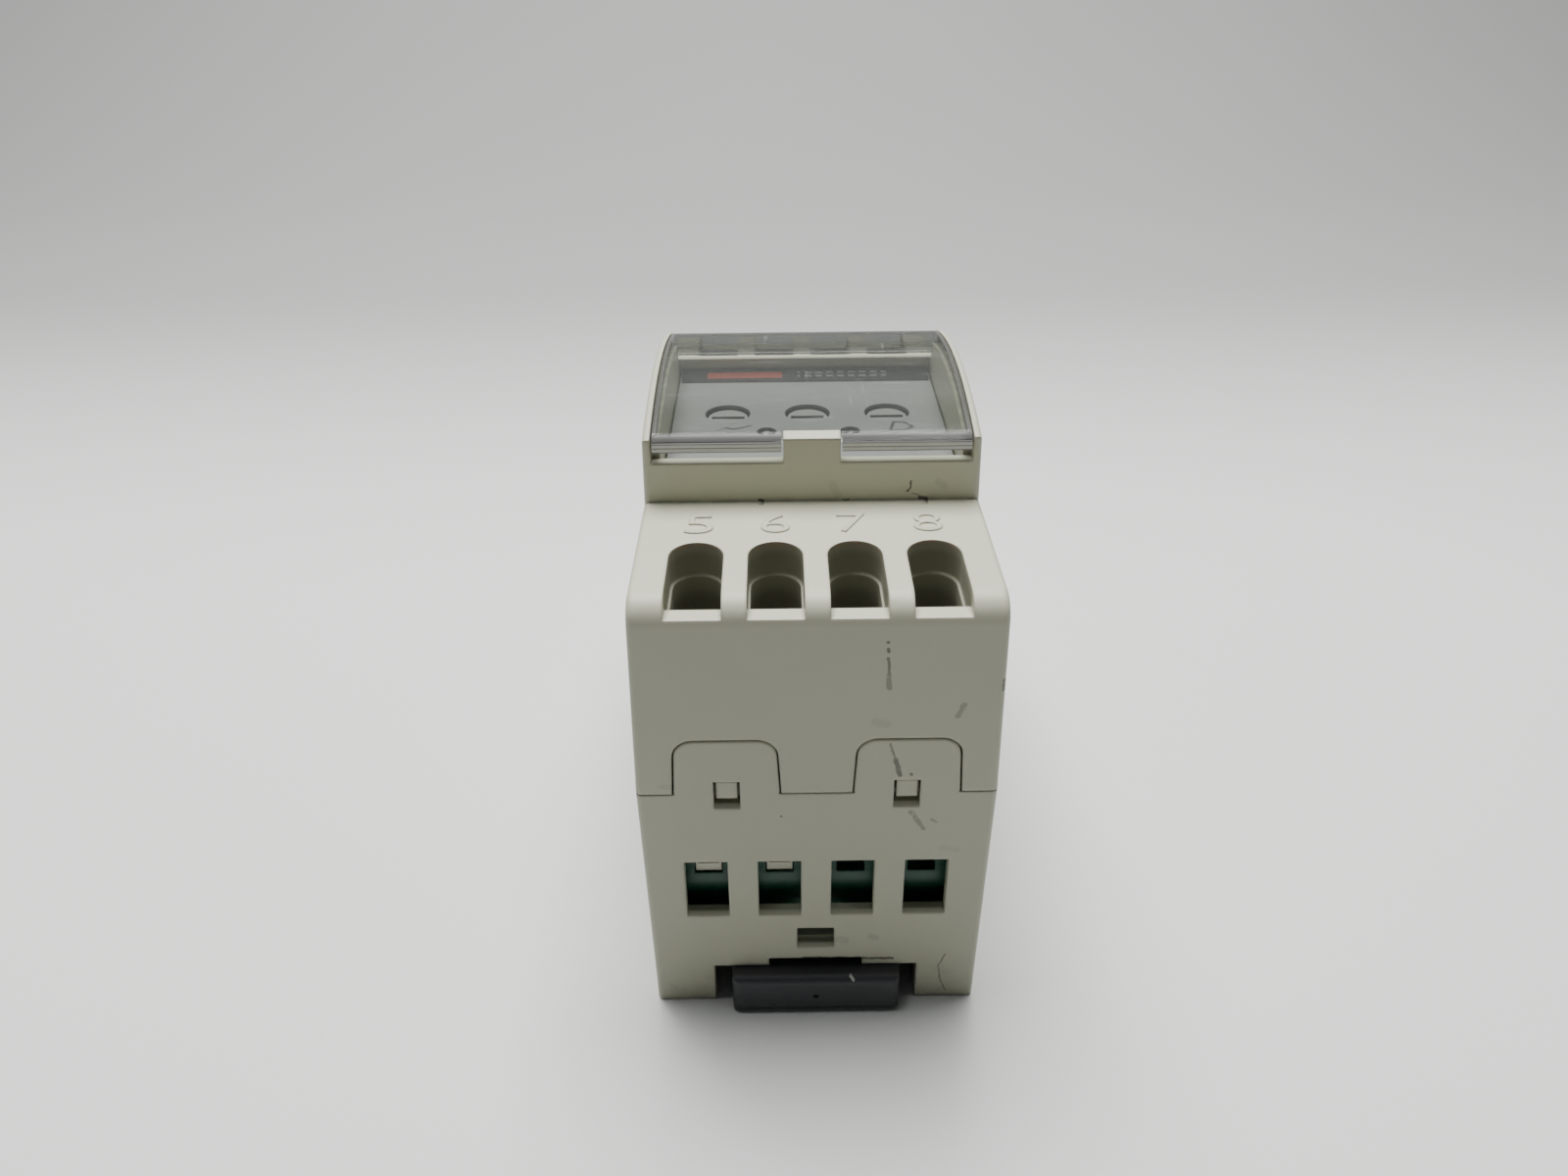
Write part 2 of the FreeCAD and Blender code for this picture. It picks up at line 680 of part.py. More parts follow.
def clear_cover():
    """The arched window with its front lip, a notch round the catch, and the skirt over the barrel."""
    front, lip_back = "0 - nose_end", "lip_wall - nose_end"
    low, band_top = "shoulder_height + lip_rise", "shoulder_height + lip_rise + lip_band"
    step = "lip_step - nose_end"
    crest = "lip_step + lip_round - nose_end"
    skirt_out = "hinge_y + barrel_radius"
    skirt_in, turn = f"{skirt_out} - cover_wall", f"{skirt_out} - lip_round"
    shell = outline("cover_shell", "x", [
        (front, low),
        (front, band_top),
        (step, band_top),
        (step, on_arc(crest) + " - lip_round * 0.75", "lip_round * 1.2"),
        (crest, on_arc(crest), "nose_arc_radius"),
        (turn, on_arc(turn), "lip_round * 1.2"),
        (skirt_out, on_arc(turn) + " - lip_round * 0.75"),
        (skirt_out, "hinge_z"),
        (skirt_in, "hinge_z"),
        (skirt_in, on_arc(skirt_in, "cover_wall"), "0 - (nose_arc_radius - cover_wall)"),
        (lip_back, on_arc(lip_back, "cover_wall")),
        (lip_back, low),
    ], "2 * (cheek_inner - cover_gap)")
    barrel = cylinder("cover_barrel", "barrel_radius", "x", ("hinge_y", "hinge_z"),
                      "cover_gap - cheek_inner", "cheek_inner - cover_gap")
    pins = cylinder("cover_pins", "hinge_pin_radius", "x", ("hinge_y", "hinge_z"),
                    "cover_gap - cheek_inner - hinge_pin_length",
                    "cheek_inner - cover_gap + hinge_pin_length")
    notch = box("cover_notch", middle("catch_width + 2 * cover_gap"),
                ("0 - nose_end - 1", "nose_front_wall + cover_gap - nose_end"),
                ("shoulder_height", "shoulder_height + 2 * nose_front_rise"))
    whole = fuse("cover_whole", shell, barrel, pins)
    return cut("clear_cover", whole, notch)


def face_plate():
    """The panel that lies in the tray, with a hole for each adjuster and light."""
    plate = box("plate_blank", middle("2 * (tray_half - plate_gap)"),
                middle("nose_length - 2 * nose_front_wall - 2 * plate_gap"),
                ("tray_floor", "plate_top"))
    holes = [
        cylinder(f"plate_adjuster_hole_{index}", "adjuster_radius + adjuster_gap", "z",
                 (x, "adjuster_y"), "tray_floor - 1", "plate_top + 1")
        for index, x in enumerate(("0 - adjuster_pitch", "0", "adjuster_pitch"), 1)
    ] + [
        cylinder(f"plate_led_hole_{index}", "led_radius + led_gap", "z", (x, "led_y"),
                 "tray_floor - 1", "plate_top + 1")
        for index, x in enumerate(("0 - led_pitch / 2", "led_pitch / 2"), 1)
    ]
    return cut("face_plate", plate, *holes)


def face_label():
    """A dark strip across the rear of the panel, sloping up to the back."""
    front = "label_back - nose_end"
    rear = f"{front} + label_length"
    return outline("face_label", "x", [
        (front, "plate_top"),
        (front, "plate_top + label_wall"),
        (rear, "plate_top + label_rise"),
        (rear, "plate_top"),
    ], "2 * (tray_half - 2 * plate_gap)")


def adjusters():
    """Three slotted rotors that turn in their trimmers."""
    made = []
    top = "plate_top - adjuster_recess"
    for name, x in (("left", "0 - adjuster_pitch"), ("middle", "0"), ("right", "adjuster_pitch")):
        rotor = cylinder(f"rotor_{name}", "adjuster_radius", "z", (x, "adjuster_y"),
                         "trimmer_top - trimmer_height / 2", top)
        slot = box(f"rotor_slot_{name}", about(x, "2 * adjuster_radius - 0.8"),
                   about("adjuster_y", "adjuster_slot"), (f"{top} - screw_slot_depth", f"{top} + 1"))
        made.append(cut(f"adjuster_{name}", rotor, slot))
    return made


def trimmer_bodies():
    """The fixed halves of the adjusters, on the front board."""
    made = []
    for index, x in enumerate(("0 - adjuster_pitch", "0", "adjuster_pitch"), 1):
        body = box(f"trimmer_block_{index}", about(x, "trimmer_width"),
                   about("adjuster_y", "trimmer_width"), ("front_board_top", "trimmer_top"))
        bore = cylinder(f"trimmer_bore_{index}", "adjuster_radius + running_fit", "z",
                        (x, "adjuster_y"), "trimmer_top - trimmer_height / 2", "trimmer_top + 1")
        made.append(cut(f"trimmer_{index}", body, bore))
    return group("trimmer_bodies", *made)


def status_leds():
    """Two round lights with domed tips."""
    made = []
    for index, x in enumerate(("0 - led_pitch / 2", "led_pitch / 2"), 1):
        stem = cylinder(f"led_stem_{index}", "led_radius", "z", (x, "led_y"),
                        "front_board_top", "plate_top - led_radius")
        dome = doc.addObject("Part::Sphere", f"led_dome_{index}")
        dome.setExpression("Radius", named("led_radius"))
        place(dome, x, "led_y", "plate_top - led_radius")
        made.append(fuse(f"led_{index}", stem, dome))
    return group("status_leds", *made)


def rail_clip():
    """The sliding clip: handle, wings that run on the channel's lips, spring pocket and nose."""
    handle, nose = "0 - case_end - clip_handle", "clip_nose"
    bar = outline("clip_bar", "x", [
        (handle, "clip_gap"),
        (f"{nose} - clip_lead", "clip_gap"),
        (nose, "clip_top - clip_wing_thickness"),
        (nose, "clip_top"),
        (handle, "clip_top"),
    ], "clip_width")
    front = value(handle) + 0.05
    soft = rounded("clip_soft", bar, "clip_round",
                   lambda at, edge: at.y < front)
    wings = box("clip_wings", middle("clip_width + 2 * clip_wing"),
                ("channel_lip_setback - case_end + clip_gap", f"{nose} - clip_lead"),
                ("channel_lip_height + clip_gap", "channel_lip_height + clip_gap + clip_wing_thickness"))
    dimple = cylinder("clip_dimple", "dimple_radius", "y", ("0", "clip_top / 2"),
                      f"{handle} - 1", f"{handle} + dimple_depth")
    pocket = box("clip_pocket", middle("post_width + 2 * clip_gap"),
                 ("post_y - clip_gap", "spring_start + spring_room"),
                 ("0", "clip_top - 2 * clip_gap"))
    post_slot = box("clip_post_slot", middle("post_width + 2 * clip_gap"),
                    ("post_y - clip_gap", "spring_start + clip_travel + clip_gap"),
                    ("0", "clip_top + 1"))
    return cut("rail_clip", fuse("clip_whole", soft, wings), pocket, post_slot, dimple)


def clip_spring():
    """A compression spring along Y between the housing's post and the clip's pocket."""
    height = "(clip_top + clip_gap) / 2"
    start = "spring_start + spring_wire + clip_gap / 2"
    helix = doc.addObject("Part::Helix", "spring_helix")
    helix.setExpression("Radius", named("spring_radius"))
    helix.setExpression("Pitch", named("spring_pitch"))
    helix.setExpression("Height", named("spring_room - 2 * spring_wire - clip_gap"))
    place(helix, "0", start, height, TURNS["y"])
    wire = doc.addObject("Part::Circle", "spring_wire_section")
    wire.setExpression("Radius", named("spring_wire"))
    place(wire, "spring_radius", start, height)
    coil = doc.addObject("Part::Sweep", "clip_spring")
    coil.Sections = [wire]
    coil.Spine = (helix, ["Edge1"])
    coil.Solid = True
    coil.Frenet = True
    return coil


def circuit_boards():
    """Base, front and upright boards, with the headers that join them."""
    base = box("base_board", middle("2 * cavity_half - 2 * plate_gap"),
               middle("case_length - 2 * board_end_gap"), ("board_bottom", "board_top"))
    front = box("front_board", middle("front_board_width"), middle("front_board_length"),
                ("front_board_bottom", "front_board_top"))
    riser = box("riser_board", ("riser_offset", "riser_offset + board_wall"), middle("riser_length"),
                ("board_top", "front_board_bottom"))
    x = ("riser_offset - header_depth", "riser_offset")
    headers = group(
        "board_headers",
        box("lower_header", x, middle("header_length"), ("board_top", "board_top + header_depth")),
        box("upper_header", x, middle("header_length"),
            ("front_board_bottom - header_depth", "front_board_bottom")),
    )
    return [base, front, riser, headers]


def terminal_block(end_name, end):
    """A block of four clamp chambers, each with a wire entry, a screw hole and a contact slot."""
    name = f"terminal_block_{end_name}"
    width = middle("4 * pole_pitch - 2 * block_side_gap")
    core = box(f"{name}_core", width, inward(end, "block_front", "block_setback + block_depth"),
               ("board_top", "block_top"))
    bulge = cylinder(f"{name}_bulge", "block_bulge_radius", "x",
                     (inward_at(end, "block_setback + block_bulge_radius"), "board_top + block_bulge_rise"),
                     *width)
    bulge_limit = box(f"{name}_bulge_limit", width, inward(end, "block_setback - 1", "block_front + 1"),
                      ("board_top", "block_top"))
    blank = fuse(f"{name}_blank", core, common(f"{name}_bulge_front", bulge, bulge_limit))
    chambers = []
    for number, pole in zip(NUMBERS[end_name], POLES):
        screw = (pole, inward_at(end, "screw_back"))
        chambers += [
            box(f"chamber_{number}", about(pole, "clamp_head_width + 2 * clamp_gap"),
                inward(end, "block_setback - 1", "clamp_front + clamp_depth + clamp_gap"),
                ("clamp_low + clamp_height - clamp_roof - clamp_gap", "clamp_ceiling")),
            box(f"entry_{number}", about(pole, "clamp_width + 2 * clamp_slide_gap"),
                inward(end, "block_setback - 1", "clamp_front + clamp_depth + clamp_gap"),
                ("board_top + entry_low", "clamp_ceiling")),
            box(f"contact_slot_{number}", about(pole, "contact_width + 2 * clamp_gap"),
                inward(end, "clamp_front + clamp_depth", "block_setback + block_depth + 1"),
                ("board_top - 1", "contact_top + clamp_gap")),
            cylinder(f"shank_hole_{number}", "screw_radius + clamp_gap", "z", screw,
                     "clamp_ceiling - 0.5", "block_top"),
            cylinder(f"head_recess_{number}", "screw_head_radius + clamp_gap", "z", screw,
                     "block_top - screw_head_height - 0.8", "block_top + 1"),
        ]
    return cut(name, blank, *chambers)


def wire_clamp(number, end, pole):
    """A rising cage: wires lie on its lower bar, and the screw lifts it by its wider roof."""
    lift = "clamp_raised" if number in RAISED else "0"
    low = f"clamp_low + {lift}"
    y = inward(end, "clamp_front", "clamp_front + clamp_depth")
    cage = box(f"clamp_cage_{number}", about(pole, "clamp_width"), y, (low, f"{low} + clamp_height"))
    roof = box(f"clamp_roof_{number}", about(pole, "clamp_head_width"), y,
               (f"{low} + clamp_height - clamp_roof", f"{low} + clamp_height"))
    frame = fuse(f"clamp_frame_{number}", cage, roof)
    inside = box(f"clamp_inside_{number}", about(pole, "clamp_width - 2 * clamp_wall"),
                 inward(end, "clamp_front - 1", "clamp_front + clamp_depth + 1"),
                 (f"{low} + clamp_bar", f"{low} + clamp_height - clamp_roof"))
    hole = cylinder(f"clamp_hole_{number}", "screw_radius + running_fit", "z",
                    (pole, inward_at(end, "screw_back")), f"{low} + clamp_height / 2",
                    f"{low} + clamp_height + 1")
    return cut(f"wire_clamp_{number}", frame, inside, hole)


def terminal_screw(number, end, pole):
    """A headed screw with a cross recess, held by the block above its clamp."""
    at = (pole, inward_at(end, "screw_back"))
    head_low, head_top = "block_top - screw_head_height - 0.6", "block_top - 0.6"
    shank = cylinder(f"screw_shank_{number}", "screw_radius", "z", at,
                     "contact_top + 2 * clamp_gap", f"{head_low} + 0.1")
    head = cylinder(f"screw_head_{number}", "screw_head_radius", "z", at, head_low, head_top)
    long, short = "2 * screw_head_radius - 1", "screw_slot"
    depth = (f"{head_top} - screw_slot_depth", f"{head_top} + 1")
    recess = [
        box(f"screw_cross_{number}_{index}", about(pole, width), about(at[1], length), depth)
        for index, (width, length) in enumerate(((long, short), (short, long)), 1)
    ]
    return cut(f"terminal_screw_{number}", fuse(f"screw_blank_{number}", shank, head), *recess)


def terminal_contacts(end_name, end):
    """Four bent bars: a tongue inside each clamp and a leg down to the board."""
    made = []
    for number, pole in zip(NUMBERS[end_name], POLES):
        x = about(pole, "contact_width")
        tongue = box(f"contact_tongue_{number}", x, inward(end, "clamp_front + 2 * clamp_gap", "contact_back"),
                     ("contact_top - contact_wall", "contact_top"))
        leg = box(f"contact_leg_{number}", x, inward(end, "contact_back - contact_wall", "contact_back"),
                  ("board_top", "contact_top"))
        made.append(fuse(f"contact_{number}", tongue, leg))
    return group(f"terminal_contacts_{end_name}", *made)


def terminals():
    """Both ends' blocks, clamps, screws and contacts."""
    made = []
    for end_name, end in ENDS.items():
        made.append(terminal_block(end_name, end))
        made.append(terminal_contacts(end_name, end))
        for number, pole in zip(NUMBERS[end_name], POLES):
            made.append(wire_clamp(number, end, pole))
            made.append(terminal_screw(number, end, pole))
    return made


def transformer():
    """A small mains transformer: laminated core, bobbin on its middle leg, and the winding."""
    window = "core_height - 2 * core_leg"
    low, high = "core_bottom + core_leg", "core_bottom + core_height - core_leg"
    stack = about("core_x", "core_stack")
    blank = box("core_blank", stack, about("core_y", "core_length"),
                ("core_bottom", "core_bottom + core_height"))
    inner, outer = "core_length / 2 - core_leg - core_window", "core_length / 2 - core_leg"
    windows = [
        box("core_window_front", about("core_x", "core_stack + 2"),
            (f"core_y - ({outer})", f"core_y - ({inner})"), (low, high)),
        box("core_window_rear", about("core_x", "core_stack + 2"),
            (f"core_y + {inner}", f"core_y + {outer}"), (low, high)),
    ]
    core = cut("transformer_core", blank, *windows)
    fit, wall = "0.1", "bobbin_wall"
    leg_x, leg_y = f"core_stack + 2 * {fit}", f"2 * ({inner}) + 2 * {fit}"
    span_x, span_y = "core_stack + 2 * coil_overhang", f"2 * ({outer}) - 4 * {fit}"
    leg_hole = box("bobbin_leg_hole", about("core_x", leg_x), about("core_y", leg_y),
                   (f"{low} - 1", f"{high} + 1"))
    tube = box("bobbin_tube", about("core_x", f"{leg_x} + 2 * {wall}"),
               about("core_y", f"{leg_y} + 2 * {wall}"), (f"{low} + {fit}", f"{high} - {fit}"))
    flanges = [
        box("bobbin_flange_low", about("core_x", span_x), about("core_y", span_y),
            (f"{low} + {fit}", f"{low} + {fit} + {wall}")),
        box("bobbin_flange_high", about("core_x", span_x), about("core_y", span_y),
            (f"{high} - {fit} - {wall}", f"{high} - {fit}")),
    ]
    half, gone = "core_stack / 2 + coil_overhang", f"core_stack / 2 + 2 * {fit}"
    feet = [
        box("bobbin_foot_left", (f"core_x - ({half})", f"core_x - ({gone})"),
            about("core_y", span_y), ("board_top", f"{low} + {fit}")),
        box("bobbin_foot_right", (f"core_x + {gone}", f"core_x + {half}"),
            about("core_y", span_y), ("board_top", f"{low} + {fit}")),
    ]
    bobbin = cut("transformer_bobbin", fuse("bobbin_blank", tube, *flanges, *feet), leg_hole)
    winding = box("coil_blank", about("core_x", f"{span_x} - 1"), about("core_y", f"{span_y} - 4 * {fit}"),
                  (f"{low} + {fit} + {wall}", f"{high} - {fit} - {wall}"))
    tube_hole = box("coil_hole", about("core_x", f"{leg_x} + 2 * {wall}"),
                    about("core_y", f"{leg_y} + 2 * {wall}"), (low, high))
    return [core, bobbin, cut("transformer_coil", winding, tube_hole)]


def board_parts():
    """The relay, capacitors, suppressors, chip and resistors."""
    relay_x = about("core_x - part_gap", "relay_width")
    relay_y = about("relay_y", "relay_length")
    foot = "board_top + relay_base_height"
    base = box("relay_base", relay_x, relay_y, ("board_top", foot))
    case = box("relay_blank", relay_x, relay_y, (foot, "board_top + relay_height"))
    doc.recompute()
    soft_case = rounded("relay_case", case, "edge_round",
                        lambda at, edge: at.z > value(foot) + 0.1)
    capacitor_y = "relay_y + relay_length / 2 + part_gap + capacitor_radius"
    capacitors = group("capacitors", *[
        cylinder(f"capacitor_{index}", "capacitor_radius", "z", (x, capacitor_y),
                 "board_top", "board_top + capacitor_height")
        for index, x in enumerate(("0 - 2 * capacitor_radius - part_gap", "0", "2 * capacitor_radius + part_gap"), 1)
    ])
    disc_y = "core_y - core_length / 2 - part_gap"
    discs = group("suppressor_discs", *[
        cylinder(f"disc_{index}", "disc_radius", "y", (x, "board_top + disc_radius"),
                 f"{disc_y} - disc_wall", disc_y)
        for index, x in enumerate(("0 - disc_radius - 2 * part_gap", "disc_radius + 2 * part_gap"), 1)
    ])
    chip = box("controller_chip", middle("chip_width"), about("adjuster_pitch", "chip_width"),
               ("front_board_bottom - chip_height", "front_board_bottom"))
    resistors = group("resistors", *[
        cylinder(f"resistor_{index}", "resistor_radius", "x",
                 (f"0 - {index} * 3 * resistor_radius", "front_board_bottom - resistor_radius"),
                 "0 - resistor_length / 2", "resistor_length / 2")
        for index in range(1, 5)
    ])
    return [base, soft_case, capacitors, discs, chip, resistors]


def write(parts):
    """Checks the whole document, then writes each sub-part to a file of its own name."""
    doc.recompute()
    failed = [o.Label for o in doc.Objects if {"Invalid", "Error"} & set(o.State)]
    if failed:
        raise RuntimeError(f"features that failed: {failed}")
    os.makedirs("parts", exist_ok=True)
    for part in parts:
        shape = part.Shape
        if shape.isNull() or not shape.isValid() or not shape.Solids:
            raise RuntimeError(f"{part.Label} isn't a valid solid")
        shape.exportStep(f"parts/{part.Label}.step")
        print(f"{part.Label}: {len(shape.Solids)} solid(s), {shape.Volume:.1f} mm3")


write([
    base_housing(), front_housing(), clear_cover(), face_plate(), face_label(),
    *adjusters(), trimmer_bodies(), status_leds(), rail_clip(), clip_spring(),
    *circuit_boards(), *terminals(), *transformer(), *board_parts(),
])
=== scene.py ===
import math

import bpy
from mathutils import Matrix, Vector


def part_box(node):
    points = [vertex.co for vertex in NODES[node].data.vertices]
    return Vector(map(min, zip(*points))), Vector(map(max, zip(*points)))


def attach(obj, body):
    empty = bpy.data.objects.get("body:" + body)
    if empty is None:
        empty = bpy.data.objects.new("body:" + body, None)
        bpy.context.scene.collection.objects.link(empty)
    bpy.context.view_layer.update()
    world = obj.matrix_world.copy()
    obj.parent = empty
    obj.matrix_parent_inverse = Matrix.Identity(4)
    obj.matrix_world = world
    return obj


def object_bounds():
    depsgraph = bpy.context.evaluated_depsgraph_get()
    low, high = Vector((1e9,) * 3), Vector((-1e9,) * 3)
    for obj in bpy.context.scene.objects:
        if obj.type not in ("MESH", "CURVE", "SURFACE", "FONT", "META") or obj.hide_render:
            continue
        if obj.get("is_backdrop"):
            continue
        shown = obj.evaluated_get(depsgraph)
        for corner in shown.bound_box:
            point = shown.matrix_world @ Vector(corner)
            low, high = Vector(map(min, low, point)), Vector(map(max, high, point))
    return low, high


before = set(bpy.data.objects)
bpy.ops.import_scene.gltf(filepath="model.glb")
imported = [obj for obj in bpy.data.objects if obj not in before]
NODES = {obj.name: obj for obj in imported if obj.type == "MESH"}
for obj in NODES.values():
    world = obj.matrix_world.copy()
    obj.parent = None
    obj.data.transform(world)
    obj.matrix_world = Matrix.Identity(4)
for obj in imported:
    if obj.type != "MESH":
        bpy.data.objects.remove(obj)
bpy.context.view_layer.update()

bl_info = {
    "name": "Rail relay looks",
    "version": (1, 0, 0),
    "blender": (4, 5, 0),
    "location": "View3D > Sidebar > Rail relay",
    "description": "Finishes, numerals and studio for a rail-mounted control relay",
    "category": "Object",
}

MM = 0.001
ACRYLIC = 1.49
IVORY = (0.585, 0.585, 0.455)


# ---------------------------------------------------------------- sizes and colours

def colour(name, description, default):
    """A colour that a user may change."""
    return bpy.props.FloatVectorProperty(
        name=name, description=description, default=default, size=3, min=0.0, max=1.0, subtype="COLOR"
    )


def length(name, description, default):
    """A length in metres that a user may change."""
    return bpy.props.FloatProperty(
        name=name, description=description, default=default, min=0.0, precision=5, unit="LENGTH"
    )


def share(name, description, default):
    """A share from 0 to 1 that a user may change."""
    return bpy.props.FloatProperty(
        name=name, description=description, default=default, min=0.0, max=1.0, subtype="FACTOR"
    )


class HousingSettings(bpy.types.PropertyGroup):
    """The moulded shells and the numerals on them."""

    plastic: colour("Plastic", "Colour of the moulded housing", IVORY)
    # painted shade: this colour darkens the corners, and also stands for soiling there
    grime: colour("Grime", "Colour of dirt in the corners", (0.12, 0.11, 0.08))
    # painted shade: the colour painted deep in the screw wells
    well: colour("Well", "Colour deep in the screw wells", (0.06, 0.058, 0.05))
    scuff: colour("Scuff", "Colour of dark rubbed marks", (0.022, 0.021, 0.020))
    edge: length("Edge", "Radius that moulded edges look rounded to", 0.45 * MM)
    # this share also sets how strongly the painted shade in the corners shows
    wear: share("Wear", "How strongly scuffs and grime show", 0.85)
    numeral_width: length("Numeral width", "Width of each terminal numeral", 2.9 * MM)
    numeral_height: length("Numeral height", "Height of each terminal numeral", 3.7 * MM)
    numeral_rise: length("Numeral rise", "How far a numeral stands off the shoulder", 0.13 * MM)
    numeral_inset: length("Numeral inset", "From the end face to the middle of a numeral", 15.05 * MM)


class CoverSettings(bpy.types.PropertyGroup):
    """The clear hinged cover."""

    tint: colour("Tint", "Colour that the cover lets through", (0.84, 0.85, 0.83))
    haze_colour: colour("Haze colour", "Colour of fine scratches and dust", (0.62, 0.63, 0.62))
    haze: share("Haze", "How milky the clear plastic is", 0.015)
    lip_foot: length("Lip foot", "Height of the lip's lower edge", 57.93 * MM)
    shine: share("Shine", "How strongly the clear plastic reflects", 0.16)


class FaceSettings(bpy.types.PropertyGroup):
    """The panel, its label, the adjusters and the lights."""

    panel: colour("Panel", "Colour of the grey panel", (0.285, 0.29, 0.29))
    print_ink: colour("Ink", "Colour of printed marks", (0.02, 0.02, 0.022))
    label: colour("Label", "Colour of the dark label", (0.022, 0.023, 0.026))
    label_bar: colour("Label bar", "Colour of the plain bar on the label", (0.42, 0.085, 0.06))
    adjuster: colour("Adjuster", "Colour of the slotted adjusters", (0.32, 0.325, 0.32))
    light: colour("Light", "Colour of the unlit lamps", (0.16, 0.17, 0.15))


class TerminalSettings(bpy.types.PropertyGroup):
    """Blocks, clamps, screws and contacts."""

    block: colour("Block", "Colour of the terminal blocks", (0.016, 0.095, 0.058))
    steel: colour("Steel", "Colour of plated steel", (0.40, 0.39, 0.32))
    contact: colour("Contact", "Colour of the tinned contacts", (0.66, 0.64, 0.58))


class ClipSettings(bpy.types.PropertyGroup):
    """The rail clip and its spring."""

    plastic: colour("Clip plastic", "Colour of the clip", (0.055, 0.057, 0.063))
    # partly rubbing, partly a painted highlight on the clip's edges
    worn: colour("Worn plastic", "Colour where its edges are rubbed", (0.20, 0.21, 0.22))
    wire: colour("Spring wire", "Colour of the spring", (0.42, 0.42, 0.41))


class InnerSettings(bpy.types.PropertyGroup):
    """Boards and the parts on them."""

    laminate: colour("Laminate", "Colour of the circuit boards", (0.018, 0.10, 0.045))
    relay: colour("Relay", "Colour of the relay and trimmers", (0.025, 0.07, 0.24))
    winding: colour("Winding", "Colour of the taped winding", (0.52, 0.33, 0.08))


class StageSettings(bpy.types.PropertyGroup):
    """Floor, backdrop, lights and camera."""

    floor: colour("Floor", "Colour of the floor and backdrop", (0.83, 0.845, 0.82))
    air: colour("Air", "Colour of the light all round", (0.90, 0.95, 1.0))
    soak: share("Soak", "How much bounced light the floor soaks up", 0.38)
    overhead: bpy.props.FloatProperty(
        name="Overhead", description="Power of the large light above", default=9.9, min=0.0, unit="POWER"
    )
    fill: bpy.props.FloatProperty(
        name="Fill", description="Strength of the light all round", default=0.05, min=0.0
    )


SETTINGS = {
    "relay_housing": HousingSettings,
    "relay_cover": CoverSettings,
    "relay_face": FaceSettings,
    "relay_terminals": TerminalSettings,
    "relay_clip": ClipSettings,
    "relay_inner": InnerSettings,
    "relay_stage": StageSettings,
}


# ---------------------------------------------------------------- materials

class Value:
    """A number in a material: sums and products of it add Math nodes."""

    def __init__(self, finish, socket):
        self.finish, self.socket = finish, socket

    def _with(self, operation, *others):
        return self.finish.math(operation, self, *others)

    def __add__(self, other):
        return self._with("ADD", other)

    def __radd__(self, other):
        return self._with("ADD", other)

    def __sub__(self, other):
        return self._with("SUBTRACT", other)

    def __rsub__(self, other):
        return self.finish.math("SUBTRACT", other, self)

    def __mul__(self, other):
        return self._with("MULTIPLY", other)

    def __rmul__(self, other):
        return self._with("MULTIPLY", other)

    def __truediv__(self, other):
        return self._with("DIVIDE", other)

    def __abs__(self):
        return self._with("ABSOLUTE")

    def most(self, other):
        """The greater of two values."""
        return self._with("MAXIMUM", other)

    def least(self, other):
        """The lesser of two values."""
        return self._with("MINIMUM", other)

    def fade(self, low, high):
        """0 at low and 1 at high, with a soft step between."""
        return self.finish.value(
            "MapRange", {"interpolation_type": "SMOOTHSTEP"}, {"Value": self, 1: low, 2: high}
        )


